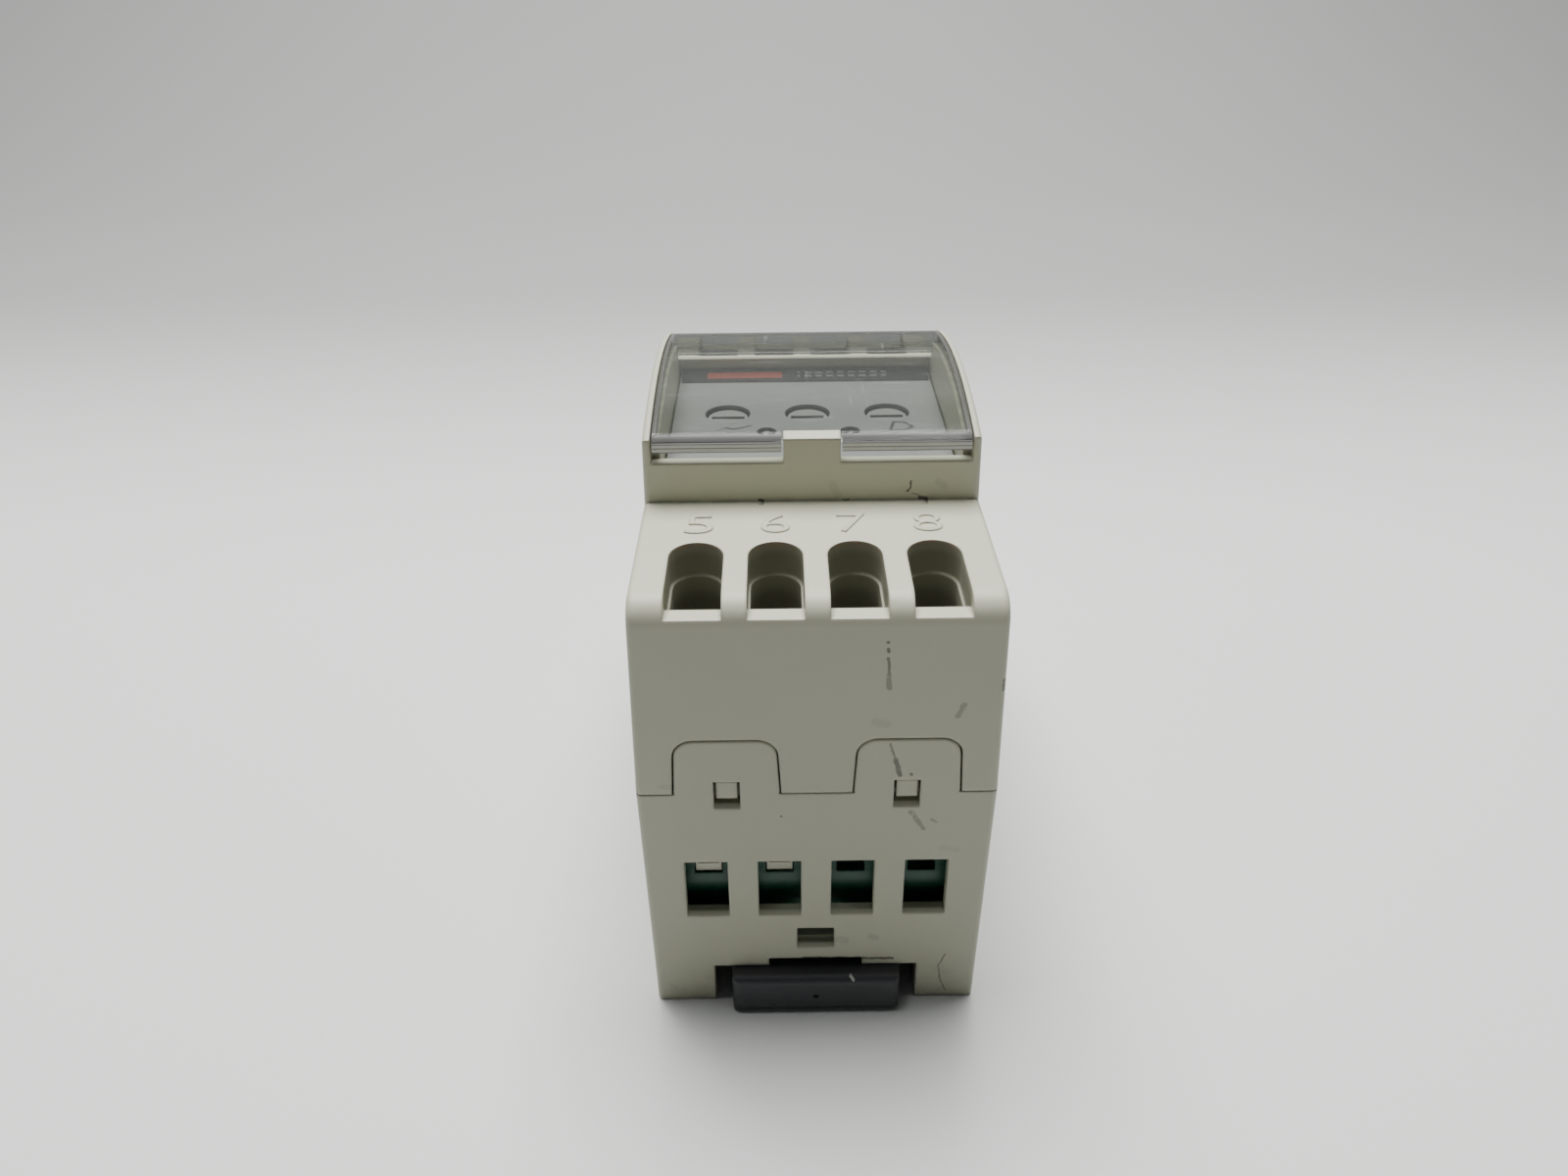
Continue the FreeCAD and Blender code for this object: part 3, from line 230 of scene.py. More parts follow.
class Finish:
    """One material on a Principled shader, and the nodes that vary it."""

    def __init__(self, name, **constants):
        self.material = bpy.data.materials.new(name)
        self.material.use_nodes = True
        self.tree = self.material.node_tree
        self.tree.nodes.clear()
        self.output = self.node("OutputMaterial")
        self.shader = self.node("BsdfPrincipled", {}, constants)
        self.surface(self.shader.outputs[0])
        place = self.node("TexCoord")
        self.at = place.outputs["Object"]
        split = self.node("SeparateXYZ", {}, {0: self.at})
        self.x, self.y, self.z = (Value(self, socket) for socket in split.outputs)

    def node(self, kind, settings=None, sockets=None):
        """A node of any type: its settings first, then its sockets' values or links."""
        made = self.tree.nodes.new("ShaderNode" + kind)
        for name, value in (settings or {}).items():
            if name == "stops":
                stops = made.color_ramp.elements
                while len(stops) < len(value):
                    stops.new(1.0)
                for stop, (place, shade) in zip(stops, value):
                    stop.position, stop.color = place, shade
            else:
                setattr(made, name, value)
        for name, value in (sockets or {}).items():
            self.plug(made.inputs[name], value)
        return made

    def plug(self, socket, value):
        """Puts a number, a colour or a link into a socket."""
        if isinstance(value, Value):
            value = value.socket
        if isinstance(value, bpy.types.NodeSocket):
            self.tree.links.new(value, socket)
        elif socket.type == "RGBA" and len(value) == 3:
            socket.default_value = (*value, 1.0)
        else:
            socket.default_value = value

    def surface(self, socket):
        """Makes a shader the material's surface."""
        self.plug(self.output.inputs["Surface"], socket)

    def set(self, **links):
        """Links values to the Principled shader, with _ for each space in a name."""
        for name, value in links.items():
            self.plug(self.shader.inputs[name.replace("_", " ")], value)
        return self

    def value(self, kind, settings=None, sockets=None, output=0):
        """A node's number output, ready for sums."""
        return Value(self, self.node(kind, settings, sockets).outputs[output])

    def math(self, operation, *values):
        """One Math node on values or plain numbers."""
        return self.value("Math", {"operation": operation}, dict(enumerate(values)))

    def vector(self, operation, *values, output=0):
        """One Vector Math node."""
        return self.node("VectorMath", {"operation": operation}, dict(enumerate(values))).outputs[output]

    def noise(self, size, detail=3.0, rough=0.55, at=None, stretch=None):
        """Cloudy noise from 0 to 1 whose blotches are about size across."""
        at = at or self.at
        if stretch:
            at = self.vector("MULTIPLY", at, stretch)
        return self.value("TexNoise", {}, {"Vector": at, "Scale": 1.0 / size, "Detail": detail,
                                           "Roughness": rough})

    def wobbled(self, size, reach):
        """Object coordinates pushed about by up to reach, so that drawn marks look uneven."""
        noise = self.node("TexNoise", {}, {"Vector": self.at, "Scale": 1.0 / size, "Detail": 2.0})
        centred = self.vector("SUBTRACT", noise.outputs["Color"], (0.5, 0.5, 0.5))
        pushed = self.vector("SCALE", centred)
        self.plug(pushed.node.inputs["Scale"], 2.0 * reach)
        return self.vector("ADD", self.at, pushed)

    def mix(self, factor, first, second):
        """One colour over another."""
        made = self.node("Mix", {"data_type": "RGBA"}, {0: factor, 6: first, 7: second})
        return made.outputs[2]

    def tone(self, shade, factor):
        """A colour made lighter or darker by a value."""
        scaled = self.vector("SCALE", shade)
        self.plug(scaled.node.inputs["Scale"], factor)
        return scaled

    def rounded(self, radius):
        """The normal that edges would have if they were rounded."""
        return self.node("Bevel", {"samples": 6}, {"Radius": radius}).outputs[0]

    def edges(self, normal):
        """1 on edges and 0 on flats, from a rounded normal."""
        flat = self.node("NewGeometry").outputs["Normal"]
        return (1.0 - Value(self, self.vector("DOT_PRODUCT", normal, flat, output=1))).fade(0.02, 0.22)

    def corners(self, reach):
        """1 in tight corners and 0 in the open."""
        open_share = self.value("AmbientOcclusion", {"samples": 6}, {"Distance": reach}, output=1)
        return (1.0 - open_share).fade(0.25, 0.95)

    def bump(self, height, distance, normal=None):
        """A bumped normal, linked to the shader."""
        sockets = {"Height": height, "Distance": distance, "Strength": 1.0}
        if normal is not None:
            sockets["Normal"] = normal
        return self.set(Normal=self.node("Bump", {}, sockets).outputs[0])

    def stroke(self, at, start, end, half, plane):
        """1 on a drawn line with round ends; plane is "xz" or "xy" and lengths are in millimetres."""
        (u0, v0), (u1, v1) = start, end
        run, rise = u1 - u0, v1 - v0
        far = 1.0e6
        if plane == "xz":
            middle = ((u0 + u1) / 2 * MM, 0.0, (v0 + v1) / 2 * MM)
            turn, scale = (0.0, math.atan2(-rise, run), 0.0), (1.0, far, 1.0)
        else:
            middle = ((u0 + u1) / 2 * MM, (v0 + v1) / 2 * MM, 0.0)
            turn, scale = (0.0, 0.0, math.atan2(rise, run)), (1.0, 1.0, far)
        local = self.node("Mapping", {"vector_type": "TEXTURE"},
                          {"Vector": at, "Location": middle, "Rotation": turn, "Scale": scale}).outputs[0]
        beyond = self.vector("SUBTRACT", self.vector("ABSOLUTE", local),
                             (math.hypot(run, rise) / 2 * MM, 0.0, 0.0))
        away = Value(self, self.vector("LENGTH", self.vector("MAXIMUM", beyond, (0.0, 0.0, 0.0)), output=1))
        return away.fade(half * 1.35 * MM, half * 0.65 * MM)

    def drawn(self, at, strokes, plane):
        """Many strokes together: each is (start, end, half width, strength)."""
        total = None
        for start, end, half, strength in strokes:
            one = self.stroke(at, start, end, half, plane) * strength
            total = one if total is None else total.most(one)
        return total


def dress(material, *names):
    """Gives CAD nodes a material."""
    for name in names:
        node = NODES[name]
        if not node.material_slots:
            node.data.materials.append(material)
        for slot in node.material_slots:
            slot.material = material


def named(start):
    """The CAD nodes whose names start with some letters."""
    return sorted(name for name in NODES if name.startswith(start))


# ---------------------------------------------------------------- building

class Builder:
    """What the operators share: each runs its own make on the scene, and any error stops it."""

    bl_options = {"REGISTER", "UNDO"}

    def execute(self, context):
        self.make(context.scene)
        return {"FINISHED"}


def deselect():
    """Nothing selected and in object mode, as each new piece needs."""
    if bpy.context.object and bpy.context.object.mode != "OBJECT":
        bpy.ops.object.mode_set(mode="OBJECT")
    bpy.ops.object.select_all(action="DESELECT")


# Dark marks on the near end face, most of them rubbed, as (start, end, half width, strength), in millimetres
# in X and Z.
END_MARKS = (
    ((6.42, 48.05), (6.42, 48.0), 0.17, 0.85),
    ((6.46, 47.25), (6.48, 47.1), 0.17, 0.85),
    ((6.52, 46.3), (6.62, 44.6), 0.16, 0.75),
    ((6.6, 44.4), (6.68, 42.9), 0.22, 0.55),
    ((5.5, 38.95), (6.6, 38.6), 0.45, 0.14),
    ((13.83, 40.85), (13.37, 39.55), 0.28, 0.45),
    ((17.45, 43.6), (17.45, 42.5), 0.18, 0.75),
    ((7.05, 36.3), (7.6, 34.3), 0.11, 0.65),
    ((7.6, 34.3), (8.15, 32.3), 0.24, 0.8),
    ((9.26, 32.45), (9.3, 32.3), 0.16, 0.8),
    ((9.45, 27.5), (10.85, 25.25), 0.26, 0.5),
    ((11.6, 26.45), (12.1, 26.1), 0.17, 0.4),
    ((-3.59, 27.15), (-3.55, 27.1), 0.11, 0.8),
    ((2.5, 9.3), (3.2, 9.1), 0.5, 0.16),
    ((6.0, 9.7), (6.5, 9.5), 0.4, 0.2),
    ((14.2, 6.77), (13.55, 4.97), 0.08, 0.7),
    ((13.55, 4.97), (13.8, 2.73), 0.08, 0.65),
    ((13.8, 2.73), (14.57, 0.94), 0.08, 0.6),
    # these two draw a dark ragged line along the edge of the step over the clip's recess
    ((-1.3, 6.38), (3.6, 6.33), 0.22, 0.95),
    ((3.6, 6.33), (8.4, 6.2), 0.17, 0.95),
    ((-15.4, 31.2), (-14.2, 31.1), 0.3, 0.12),
    ((12.8, 22.6), (14.4, 22.2), 0.35, 0.12),
)
# The same on the wall between the near shoulder and the cover.
NOSE_MARKS = (
    ((10.22, 54.5), (10.17, 53.75), 0.1, 0.95),
    ((10.17, 53.75), (9.86, 53.4), 0.13, 0.9),
    ((10.43, 53.1), (11.1, 52.85), 0.08, 0.6),
    ((11.2, 52.62), (11.85, 52.5), 0.2, 0.9),
    ((-5.45, 52.5), (-5.1, 52.48), 0.16, 0.9),
    ((13.0, 54.4), (13.6, 53.9), 0.4, 0.16),
    ((2.1, 54.2), (2.6, 53.0), 0.4, 0.12),
    ((3.2, 52.5), (3.9, 52.46), 0.1, 0.6),
)


class RELAY_OT_housing(Builder, bpy.types.Operator):
    """Satin ivory plastic on both shells, with soft edges, painted highlights along them, painted shade and
    soiling in the corners, painted shade in the screw wells, and rubbed marks
    """

    bl_idname = "relay.housing"
    bl_label = "Housing"

    def make(self, scene):
        settings = scene.relay_housing
        finish = Finish("housing_plastic", **{"IOR": ACRYLIC, "Specular IOR Level": 0.42,
                                              "Subsurface Weight": 0.06, "Subsurface Scale": 0.0012})
        end, nose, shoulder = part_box("front_housing")[0].y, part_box("clear_cover")[0].y, shoulder_height()
        normal = finish.rounded(settings.edge)
        edge = finish.edges(normal)
        cloud = finish.noise(14 * MM, 3.0)
        speckle = finish.noise(0.5 * MM, 2.0)
        shade = finish.tone(settings.plastic, 0.955 + 0.07 * cloud + 0.03 * speckle)
        # painted highlight: the moulded edges are painted lighter
        shade = finish.mix(edge * 0.18, shade, (0.80, 0.80, 0.72))
        # painted shade and soiling: corners found by occlusion are darkened in drifts, and the faces darken
        # thinly in blotches towards the bottom
        drift = finish.noise(2.2 * MM, 5.0, 0.65)
        shade_and_dirt = finish.corners(1.6 * MM) * drift.fade(0.15, 0.65) * 0.78
        low = finish.z.fade(9 * MM, 1 * MM) * drift.fade(0.45, 0.8) * 0.22
        shade_and_dirt = shade_and_dirt.most(low) * settings.wear
        shade = finish.mix(shade_and_dirt, shade, settings.grime)
        # the screw wells darken quickly below their rims
        # painted shade: the screw wells are painted darker just below their rims, more so lower down, but
        # not on the narrow step inside them
        inside = abs(finish.y).fade(-end - 1.9 * MM, -end - 2.0 * MM)
        deep = (inside * abs(finish.x).fade(15.4 * MM, 15.0 * MM)
                * finish.z.fade(shoulder - 0.3 * MM, shoulder - 1.6 * MM))
        lower = finish.z.fade(shoulder - 3.8 * MM, shoulder - 6.5 * MM)
        step = (finish.z.fade(shoulder - 3.78 * MM, shoulder - 3.68 * MM)
                * finish.z.fade(shoulder - 3.42 * MM, shoulder - 3.52 * MM))
        shade = finish.mix(deep * (0.30 + 0.35 * lower) * (1.0 - step), shade, settings.well)
        # rubbed marks
        at = finish.wobbled(0.7 * MM, 0.16 * MM)
        broken = finish.noise(0.35 * MM, 3.0, 0.7).fade(0.24, 0.44)
        end_face = finish.y.fade(end + 1.3 * MM, end + 0.5 * MM)
        nose_wall = (finish.y.fade(nose + 1.6 * MM, nose + 0.9 * MM)
                     * finish.y.fade(nose - 1.1 * MM, nose - 0.7 * MM))
        marks = (finish.drawn(at, END_MARKS, "xz") * end_face).most(
            finish.drawn(at, NOSE_MARKS, "xz") * nose_wall
        )
        crumbs = finish.noise(1.3 * MM, 6.0, 0.75).fade(0.735, 0.76) * 0.5
        marks = (marks * broken).most(crumbs) * settings.wear
        shade = finish.mix(marks, shade, settings.scuff)
        finish.set(Base_Color=shade, Roughness=0.40 + 0.10 * drift + 0.15 * shade_and_dirt - 0.08 * edge)
        grain = finish.noise(0.16 * MM, 2.0)
        ripple = finish.noise(5 * MM, 2.0)
        finish.bump(grain * 0.35 + ripple * 3.0 - marks * 1.2, 0.010 * MM, normal)
        dress(finish.material, "base_housing", "front_housing")
        scene["housing_finish"] = finish.material.name


NUMERAL_ROOT = 0.06 * MM
NUMERAL_SOFT_EDGE = 0.035 * MM
NARROW_ONE = 0.86


class RELAY_OT_numerals(Builder, bpy.types.Operator):
    """A raised numeral beside each terminal, in the plastic of the housing"""

    bl_idname = "relay.numerals"
    bl_label = "Terminal numerals"

    def make(self, scene):
        settings = scene.relay_housing
        material = bpy.data.materials[scene["housing_finish"]]
        shoulder = shoulder_height()
        low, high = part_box("front_housing")
        for number in range(1, 9):
            clamp_low, clamp_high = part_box(f"wire_clamp_{number}")
            x = (clamp_low.x + clamp_high.x) / 2
            near = (clamp_low.y + clamp_high.y) / 2 < 0
            y = low.y + settings.numeral_inset if near else high.y - settings.numeral_inset
            deselect()
            bpy.ops.object.text_add(location=(0, 0, 0))
            piece = bpy.context.object
            text = piece.data
            text.body = str(number)
            text.align_x, text.align_y = "CENTER", "CENTER"
            text.size, text.resolution_u = 1.0, 8
            text.offset = -0.005
            text.extrude = 0.02
            bpy.ops.object.convert(target="MESH")
            piece = bpy.context.object
            piece.name = f"terminal_numeral_{number}"
            # centre it, then scale it to the moulded size
            corners = [Vector(corner) for corner in piece.bound_box]
            first = Vector(map(min, zip(*corners)))
            last = Vector(map(max, zip(*corners)))
            span, middle = last - first, (first + last) / 2
            width = settings.numeral_width * (NARROW_ONE if number == 1 else 1.0)
            depth = settings.numeral_rise + NUMERAL_ROOT
            scale = Vector((width / span.x, settings.numeral_height / span.y, depth / span.z))
            piece.scale = scale
            piece.location = Vector((x, y, shoulder + settings.numeral_rise - depth / 2)) - Vector(
                (middle.x * scale.x, middle.y * scale.y, middle.z * scale.z)
            )
            bpy.ops.object.transform_apply(location=True, rotation=True, scale=True)
            bpy.ops.object.mode_set(mode="EDIT")
            bpy.ops.mesh.select_all(action="SELECT")
            bpy.ops.mesh.remove_doubles(threshold=1e-6)
            bpy.ops.mesh.normals_make_consistent(inside=False)
            bpy.ops.object.mode_set(mode="OBJECT")
            soften = piece.modifiers.new("soft_edges", "BEVEL")
            soften.width, soften.segments, soften.limit_method = NUMERAL_SOFT_EDGE, 2, "ANGLE"
            soften.use_clamp_overlap = True
            bpy.ops.object.modifier_apply(modifier=soften.name)
            piece.data.materials.append(material)
            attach(piece, "housing")


def shoulder_height():
    """The height of the flat shoulders: the greatest height of the shell's corners near its ends."""
    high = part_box("front_housing")[1]
    ends, sides = high.y - 10.15 * MM, high.x - 3.5 * MM
    heights = {}
    for vertex in NODES["front_housing"].data.vertices:
        if abs(vertex.co.y) > ends and abs(vertex.co.x) < sides:
            key = round(vertex.co.z, 5)
            heights[key] = heights.get(key, 0) + 1
    return max(heights)


# Painted highlights and painted shade up the front of the cover's lip, for the light refracted in it, each
# as (share of its height, grey).
LIP_BANDS = ((0.0, 0.10), (0.12, 0.75), (0.26, 0.70), (0.32, 0.16), (0.40, 0.80),
             (0.55, 0.62), (0.62, 0.10), (0.72, 0.24), (1.0, 0.20))


class RELAY_OT_cover(Builder, bpy.types.Operator):
    """Clear plastic with a faint haze and fine scratches, a lip painted with bright and dark bands for the
    light refracted in it, and a painted grey shade on the rear skirt and side rims
    """

    bl_idname = "relay.cover"
    bl_label = "Clear cover"

    def make(self, scene):
        settings = scene.relay_cover
        low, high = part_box("clear_cover")
        finish = Finish("clear_plastic", **{"IOR": ACRYLIC, "Specular IOR Level": 0.24})
        scratch = finish.noise(0.5 * MM, 2.0, 0.6, stretch=(1.0, 0.06, 0.3)).fade(0.68, 0.74) * 0.12
        hairline = finish.noise(0.35 * MM, 1.0, 0.5, stretch=(0.05, 1.0, 0.3)).fade(0.70, 0.74) * 0.10
        dust = finish.noise(1.1 * MM, 5.0, 0.75).fade(0.62, 0.80) * 0.16
        cloud = finish.noise(9 * MM, 3.0) * 0.10
        # the thick lip at the front is painted nearly opaque, with bright and dark lines along it: painted
        # highlights and painted shade for the light refracted in it
        lip = finish.y.fade(low.y + 0.95 * MM, low.y + 0.55 * MM)
        lines = finish.noise(0.42 * MM, 2.0, 0.6, stretch=(0.03, 0.4, 1.0))
        level = (finish.z - settings.lip_foot) / (1.5 * MM) + (lines - 0.5) * 0.12
        stops = tuple((place, (shade, shade, shade * 0.98, 1.0)) for place, shade in LIP_BANDS)
        bands = finish.node("ValToRGB", {"stops": stops}, {0: level})
        # the lip's painted bands hide the clear plastic almost wholly
        milky = lip * 0.92
        # painted shade: the skirt over the barrel and the side rims are painted dark grey, for how they look
        # seen lengthwise
        skirt = finish.y.fade(high.y - 1.6 * MM, high.y - 0.9 * MM)
        haze = (settings.haze + cloud * 0.15 + dust * 0.5 + scratch.most(hairline)).least(0.75)
        rim = abs(finish.x).fade(high.x - 1.25 * MM, high.x - 1.05 * MM) * (1.0 - lip)
        factor = haze.most(milky).most(skirt * 0.80).most(rim * 0.55)
        tone = finish.mix(skirt.most(rim), settings.haze_colour, (0.13, 0.13, 0.12))
        finish.set(Base_Color=finish.mix(lip, tone, bands.outputs[0]), Roughness=0.25 + 0.3 * dust)
        clear = finish.node("BsdfTransparent", {}, {"Color": settings.tint}).outputs[0]
        milk = finish.node("MixShader", {}, {0: factor, 1: clear, 2: finish.shader.outputs[0]})
        gloss = finish.node("BsdfGlossy", {}, {"Color": (1.0, 1.0, 1.0), "Roughness": 0.07})
        fresnel = finish.value("Fresnel", {}, {"IOR": ACRYLIC}) * settings.shine
        shine = finish.node("MixShader", {}, {0: fresnel, 1: milk.outputs[0], 2: gloss.outputs[0]})
        finish.surface(shine.outputs[0])
        dress(finish.material, "clear_cover")


# Printed marks beside the lamps on the panel, in X and Y: a contact arm and a lamp sign.
PANEL_MARKS = (
    ((-10.2, -2.95), (-9.35, -2.15), 0.13, 0.6),
    ((-9.35, -2.15), (-8.3, -2.55), 0.18, 0.95),
    ((-8.3, -2.55), (-6.5, -1.6), 0.15, 0.9),
    ((9.2, -3.15), (9.75, -0.95), 0.16, 0.95),
    ((9.75, -0.95), (10.95, -1.15), 0.16, 0.95),
    ((10.95, -1.15), (11.8, -2.35), 0.16, 0.95),
    ((11.8, -2.35), (10.9, -3.15), 0.16, 0.95),
    ((10.9, -3.15), (9.4, -3.25), 0.13, 0.8),
)


class RELAY_OT_face(Builder, bpy.types.Operator):
    """The grey panel, its dark label, the slotted adjusters and the unlit lamps"""

    bl_idname = "relay.face"
    bl_label = "Face"

    def make(self, scene):
        settings = scene.relay_face
        self.panel(settings)
        self.label(settings)
        self.adjusters(settings)
        self.lamps(settings)
        self.trimmers(scene.relay_inner)

    def panel(self, settings):
        finish = Finish("panel_plastic", **{"Specular IOR Level": 0.35})
        normal = finish.rounded(0.12 * MM)
        cloud = finish.noise(5 * MM, 4.0, 0.6)
        smear = finish.noise(2.4 * MM, 4.0, 0.7, stretch=(1.0, 0.5, 1.0)).fade(0.52, 0.72)
        at = finish.wobbled(0.9 * MM, 0.12 * MM)
        shade = finish.tone(settings.panel, 0.90 + 0.2 * cloud)
        shade = finish.mix(smear * 0.3, shade, (0.17, 0.17, 0.165))
        # painted shade: the panel darkens faintly in corners found by occlusion
        shade_and_dirt = finish.corners(1.2 * MM)
        shade = finish.mix(shade_and_dirt * 0.05, shade, (0.10, 0.095, 0.085))
        marks = finish.drawn(at, PANEL_MARKS, "xy")
        shade = finish.mix(marks, shade, settings.print_ink)
        finish.set(Base_Color=shade, Roughness=0.48 + 0.2 * smear)
        finish.bump(finish.noise(0.12 * MM, 2.0), 0.006 * MM, normal)
        dress(finish.material, "face_plate")

    def label(self, settings):
        low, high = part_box("face_label")
        finish = Finish("label_film", **{"Specular IOR Level": 0.12})
        span, deep = high.x - low.x, high.y - low.y
        across = (finish.x - low.x) / span
        along = (finish.y - low.y) / deep
        cloud = finish.noise(1.6 * MM, 3.0)
        shade = finish.tone(settings.label, 0.8 + 0.5 * cloud)
        bar = (across.fade(0.098, 0.108) * across.fade(0.412, 0.400)
               * along.fade(0.22, 0.27) * along.fade(0.74, 0.69))
        shade = finish.mix(bar * (0.75 + 0.25 * cloud), shade, settings.label_bar)
        # two rows of plain dashes stand where a printed label would carry its text
        ticks = finish.math("SINE", finish.x * (2 * math.pi / (1.35 * MM))).fade(-0.45, -0.25)
        rows = (along.fade(0.30, 0.34) * along.fade(0.46, 0.42)).most(
            along.fade(0.58, 0.62) * along.fade(0.74, 0.70))
        dashes = ticks * rows * across.fade(0.466, 0.470) * across.fade(0.832, 0.828)
        shade = finish.mix(dashes * 0.55, shade, (0.36, 0.37, 0.38))
        finish.set(Base_Color=shade, Roughness=0.55 + 0.2 * cloud)
        finish.bump(bar * 0.4 + dashes * 0.4 + cloud, 0.004 * MM)
        dress(finish.material, "face_label")

    def adjusters(self, settings):
        finish = Finish("adjuster_plastic", **{"Specular IOR Level": 0.5})
        normal = finish.rounded(0.16 * MM)
        edge = finish.edges(normal)
        rub = finish.noise(0.5 * MM, 4.0, 0.65)
        shade = finish.tone(settings.adjuster, 0.85 + 0.3 * rub)
        # painted shade: darker in the corners found by occlusion
        shade = finish.mix(finish.corners(0.8 * MM) * 0.25, shade, (0.06, 0.06, 0.055))
        # painted highlight: the edges are painted lighter
        shade = finish.mix(edge * 0.35, shade, (0.5, 0.5, 0.49))
        finish.set(Base_Color=shade, Roughness=0.38 + 0.2 * rub)
        finish.bump(rub, 0.01 * MM, normal)
        dress(finish.material, *named("adjuster_"))

    def lamps(self, settings):
        finish = Finish("led_lens", **{"IOR": 1.5, "Coat Roughness": 0.05})
        right = finish.x.fade(-1 * MM, 1 * MM)
        grain = finish.noise(0.3 * MM, 2.0)
        shade = finish.mix(right, settings.light, (0.02, 0.022, 0.02))
        finish.set(Base_Color=finish.tone(shade, 0.8 + 0.4 * grain), Roughness=0.12 + 0.1 * grain,
                   Coat_Weight=0.4 + 0.2 * grain)
        finish.bump(grain, 0.004 * MM, finish.rounded(0.2 * MM))
        dress(finish.material, "status_leds")

    def trimmers(self, settings):
        finish = Finish("relay_plastic", **{"Specular IOR Level": 0.5})
        cloud = finish.noise(2 * MM, 3.0)
        shade = finish.tone(settings.relay, 0.85 + 0.3 * cloud)
        finish.set(Base_Color=shade, Roughness=0.25 + 0.15 * cloud)
        finish.bump(finish.noise(0.15 * MM, 2.0), 0.006 * MM, finish.rounded(0.3 * MM))
        dress(finish.material, "trimmer_bodies", "relay_case")


class RELAY_OT_terminals(Builder, bpy.types.Operator):
    """Dark green blocks, plated clamps and screws, and tinned contacts"""

    bl_idname = "relay.terminals"
    bl_label = "Terminals"

    def make(self, scene):
        settings = scene.relay_terminals
        finish = Finish("terminal_plastic", **{"Specular IOR Level": 0.5})
        normal = finish.rounded(0.25 * MM)
        cloud = finish.noise(3 * MM, 4.0)
        shade = finish.tone(settings.block, 0.75 + 0.5 * cloud)
        # painted highlight: the block's edges are painted a lighter green
        shade = finish.mix(finish.edges(normal) * 0.25, shade, (0.05, 0.12, 0.09))
        finish.set(Base_Color=shade, Roughness=0.26 + 0.2 * cloud)
        finish.bump(finish.noise(0.2 * MM, 2.0), 0.006 * MM, normal)
        dress(finish.material, *named("terminal_block"))
        self.plated("clamp_steel", settings.steel, (1.0, 1.0, 0.08), named("wire_clamp"))
        self.plated("screw_steel", settings.steel, (1.0, 1.0, 1.0), named("terminal_screw"))
        self.plated("contact_metal", settings.contact, (0.1, 1.0, 1.0), named("terminal_contacts"))

    def plated(self, name, shade, stretch, nodes):
        """Bright plated metal with a rolled grain, dull spots and rounded edges."""
        finish = Finish(name, **{"Metallic": 1.0})
        normal = finish.rounded(0.12 * MM)
        grain = finish.noise(0.12 * MM, 2.0, stretch=stretch)
        dull = finish.noise(1.1 * MM, 5.0, 0.65)
        tint = finish.mix(dull.fade(0.50, 0.75) * 0.55, shade, (0.26, 0.24, 0.19))
        # painted shade: the metal is painted darker in corners found by occlusion
        tint = finish.mix(finish.corners(0.9 * MM) * 0.6, tint, (0.08, 0.075, 0.06))
        finish.set(Base_Color=tint, Roughness=0.24 + 0.12 * grain + 0.2 * dull)
        finish.bump(grain + dull, 0.005 * MM, normal)
        dress(finish.material, *nodes)


class RELAY_OT_clip(Builder, bpy.types.Operator):
    """Dark rail clip with lighter edges, partly rubbed and partly a painted highlight, and its steel spring
    """

    bl_idname = "relay.clip"
    bl_label = "Rail clip"

    def make(self, scene):
        settings = scene.relay_clip
        finish = Finish("clip_plastic", **{"Specular IOR Level": 0.45})
        normal = finish.rounded(0.3 * MM)
        edge = finish.edges(normal)
        cloud = finish.noise(3 * MM, 4.0)
        rub = finish.noise(0.6 * MM, 5.0, 0.7)
        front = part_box("rail_clip")[0].y
        handle = finish.y.fade(front + 1.0 * MM, front + 0.5 * MM)
        shade = finish.tone(settings.plastic, 0.8 + 0.4 * cloud)
        # the edges are painted lighter: partly rubbing, partly a painted highlight along them
        shade = finish.mix(edge * (0.25 + 0.75 * rub.fade(0.35, 0.6)) * 0.55, shade, settings.worn)
        dust = rub.fade(0.62, 0.80) * 0.35
        shade = finish.mix(dust, shade, (0.24, 0.235, 0.21))
        at = finish.wobbled(0.5 * MM, 0.1 * MM)
        nick = finish.stroke(at, (3.8, 5.15), (4.1, 4.85), 0.13, "xz") * handle
        shade = finish.mix(nick, shade, (0.62, 0.62, 0.58))
        finish.set(Base_Color=shade, Roughness=0.42 + 0.15 * cloud - 0.1 * edge)
        finish.bump(finish.noise(0.18 * MM, 2.0) + rub, 0.008 * MM, normal)
        dress(finish.material, "rail_clip")
        wire = Finish("spring_steel", **{"Metallic": 1.0})
        drawn = wire.noise(0.3 * MM, 3.0)
        wire.set(Base_Color=wire.tone(settings.wire, 0.8 + 0.4 * drawn), Roughness=0.25 + 0.2 * drawn)
        wire.bump(drawn, 0.004 * MM)
        dress(wire.material, "clip_spring")


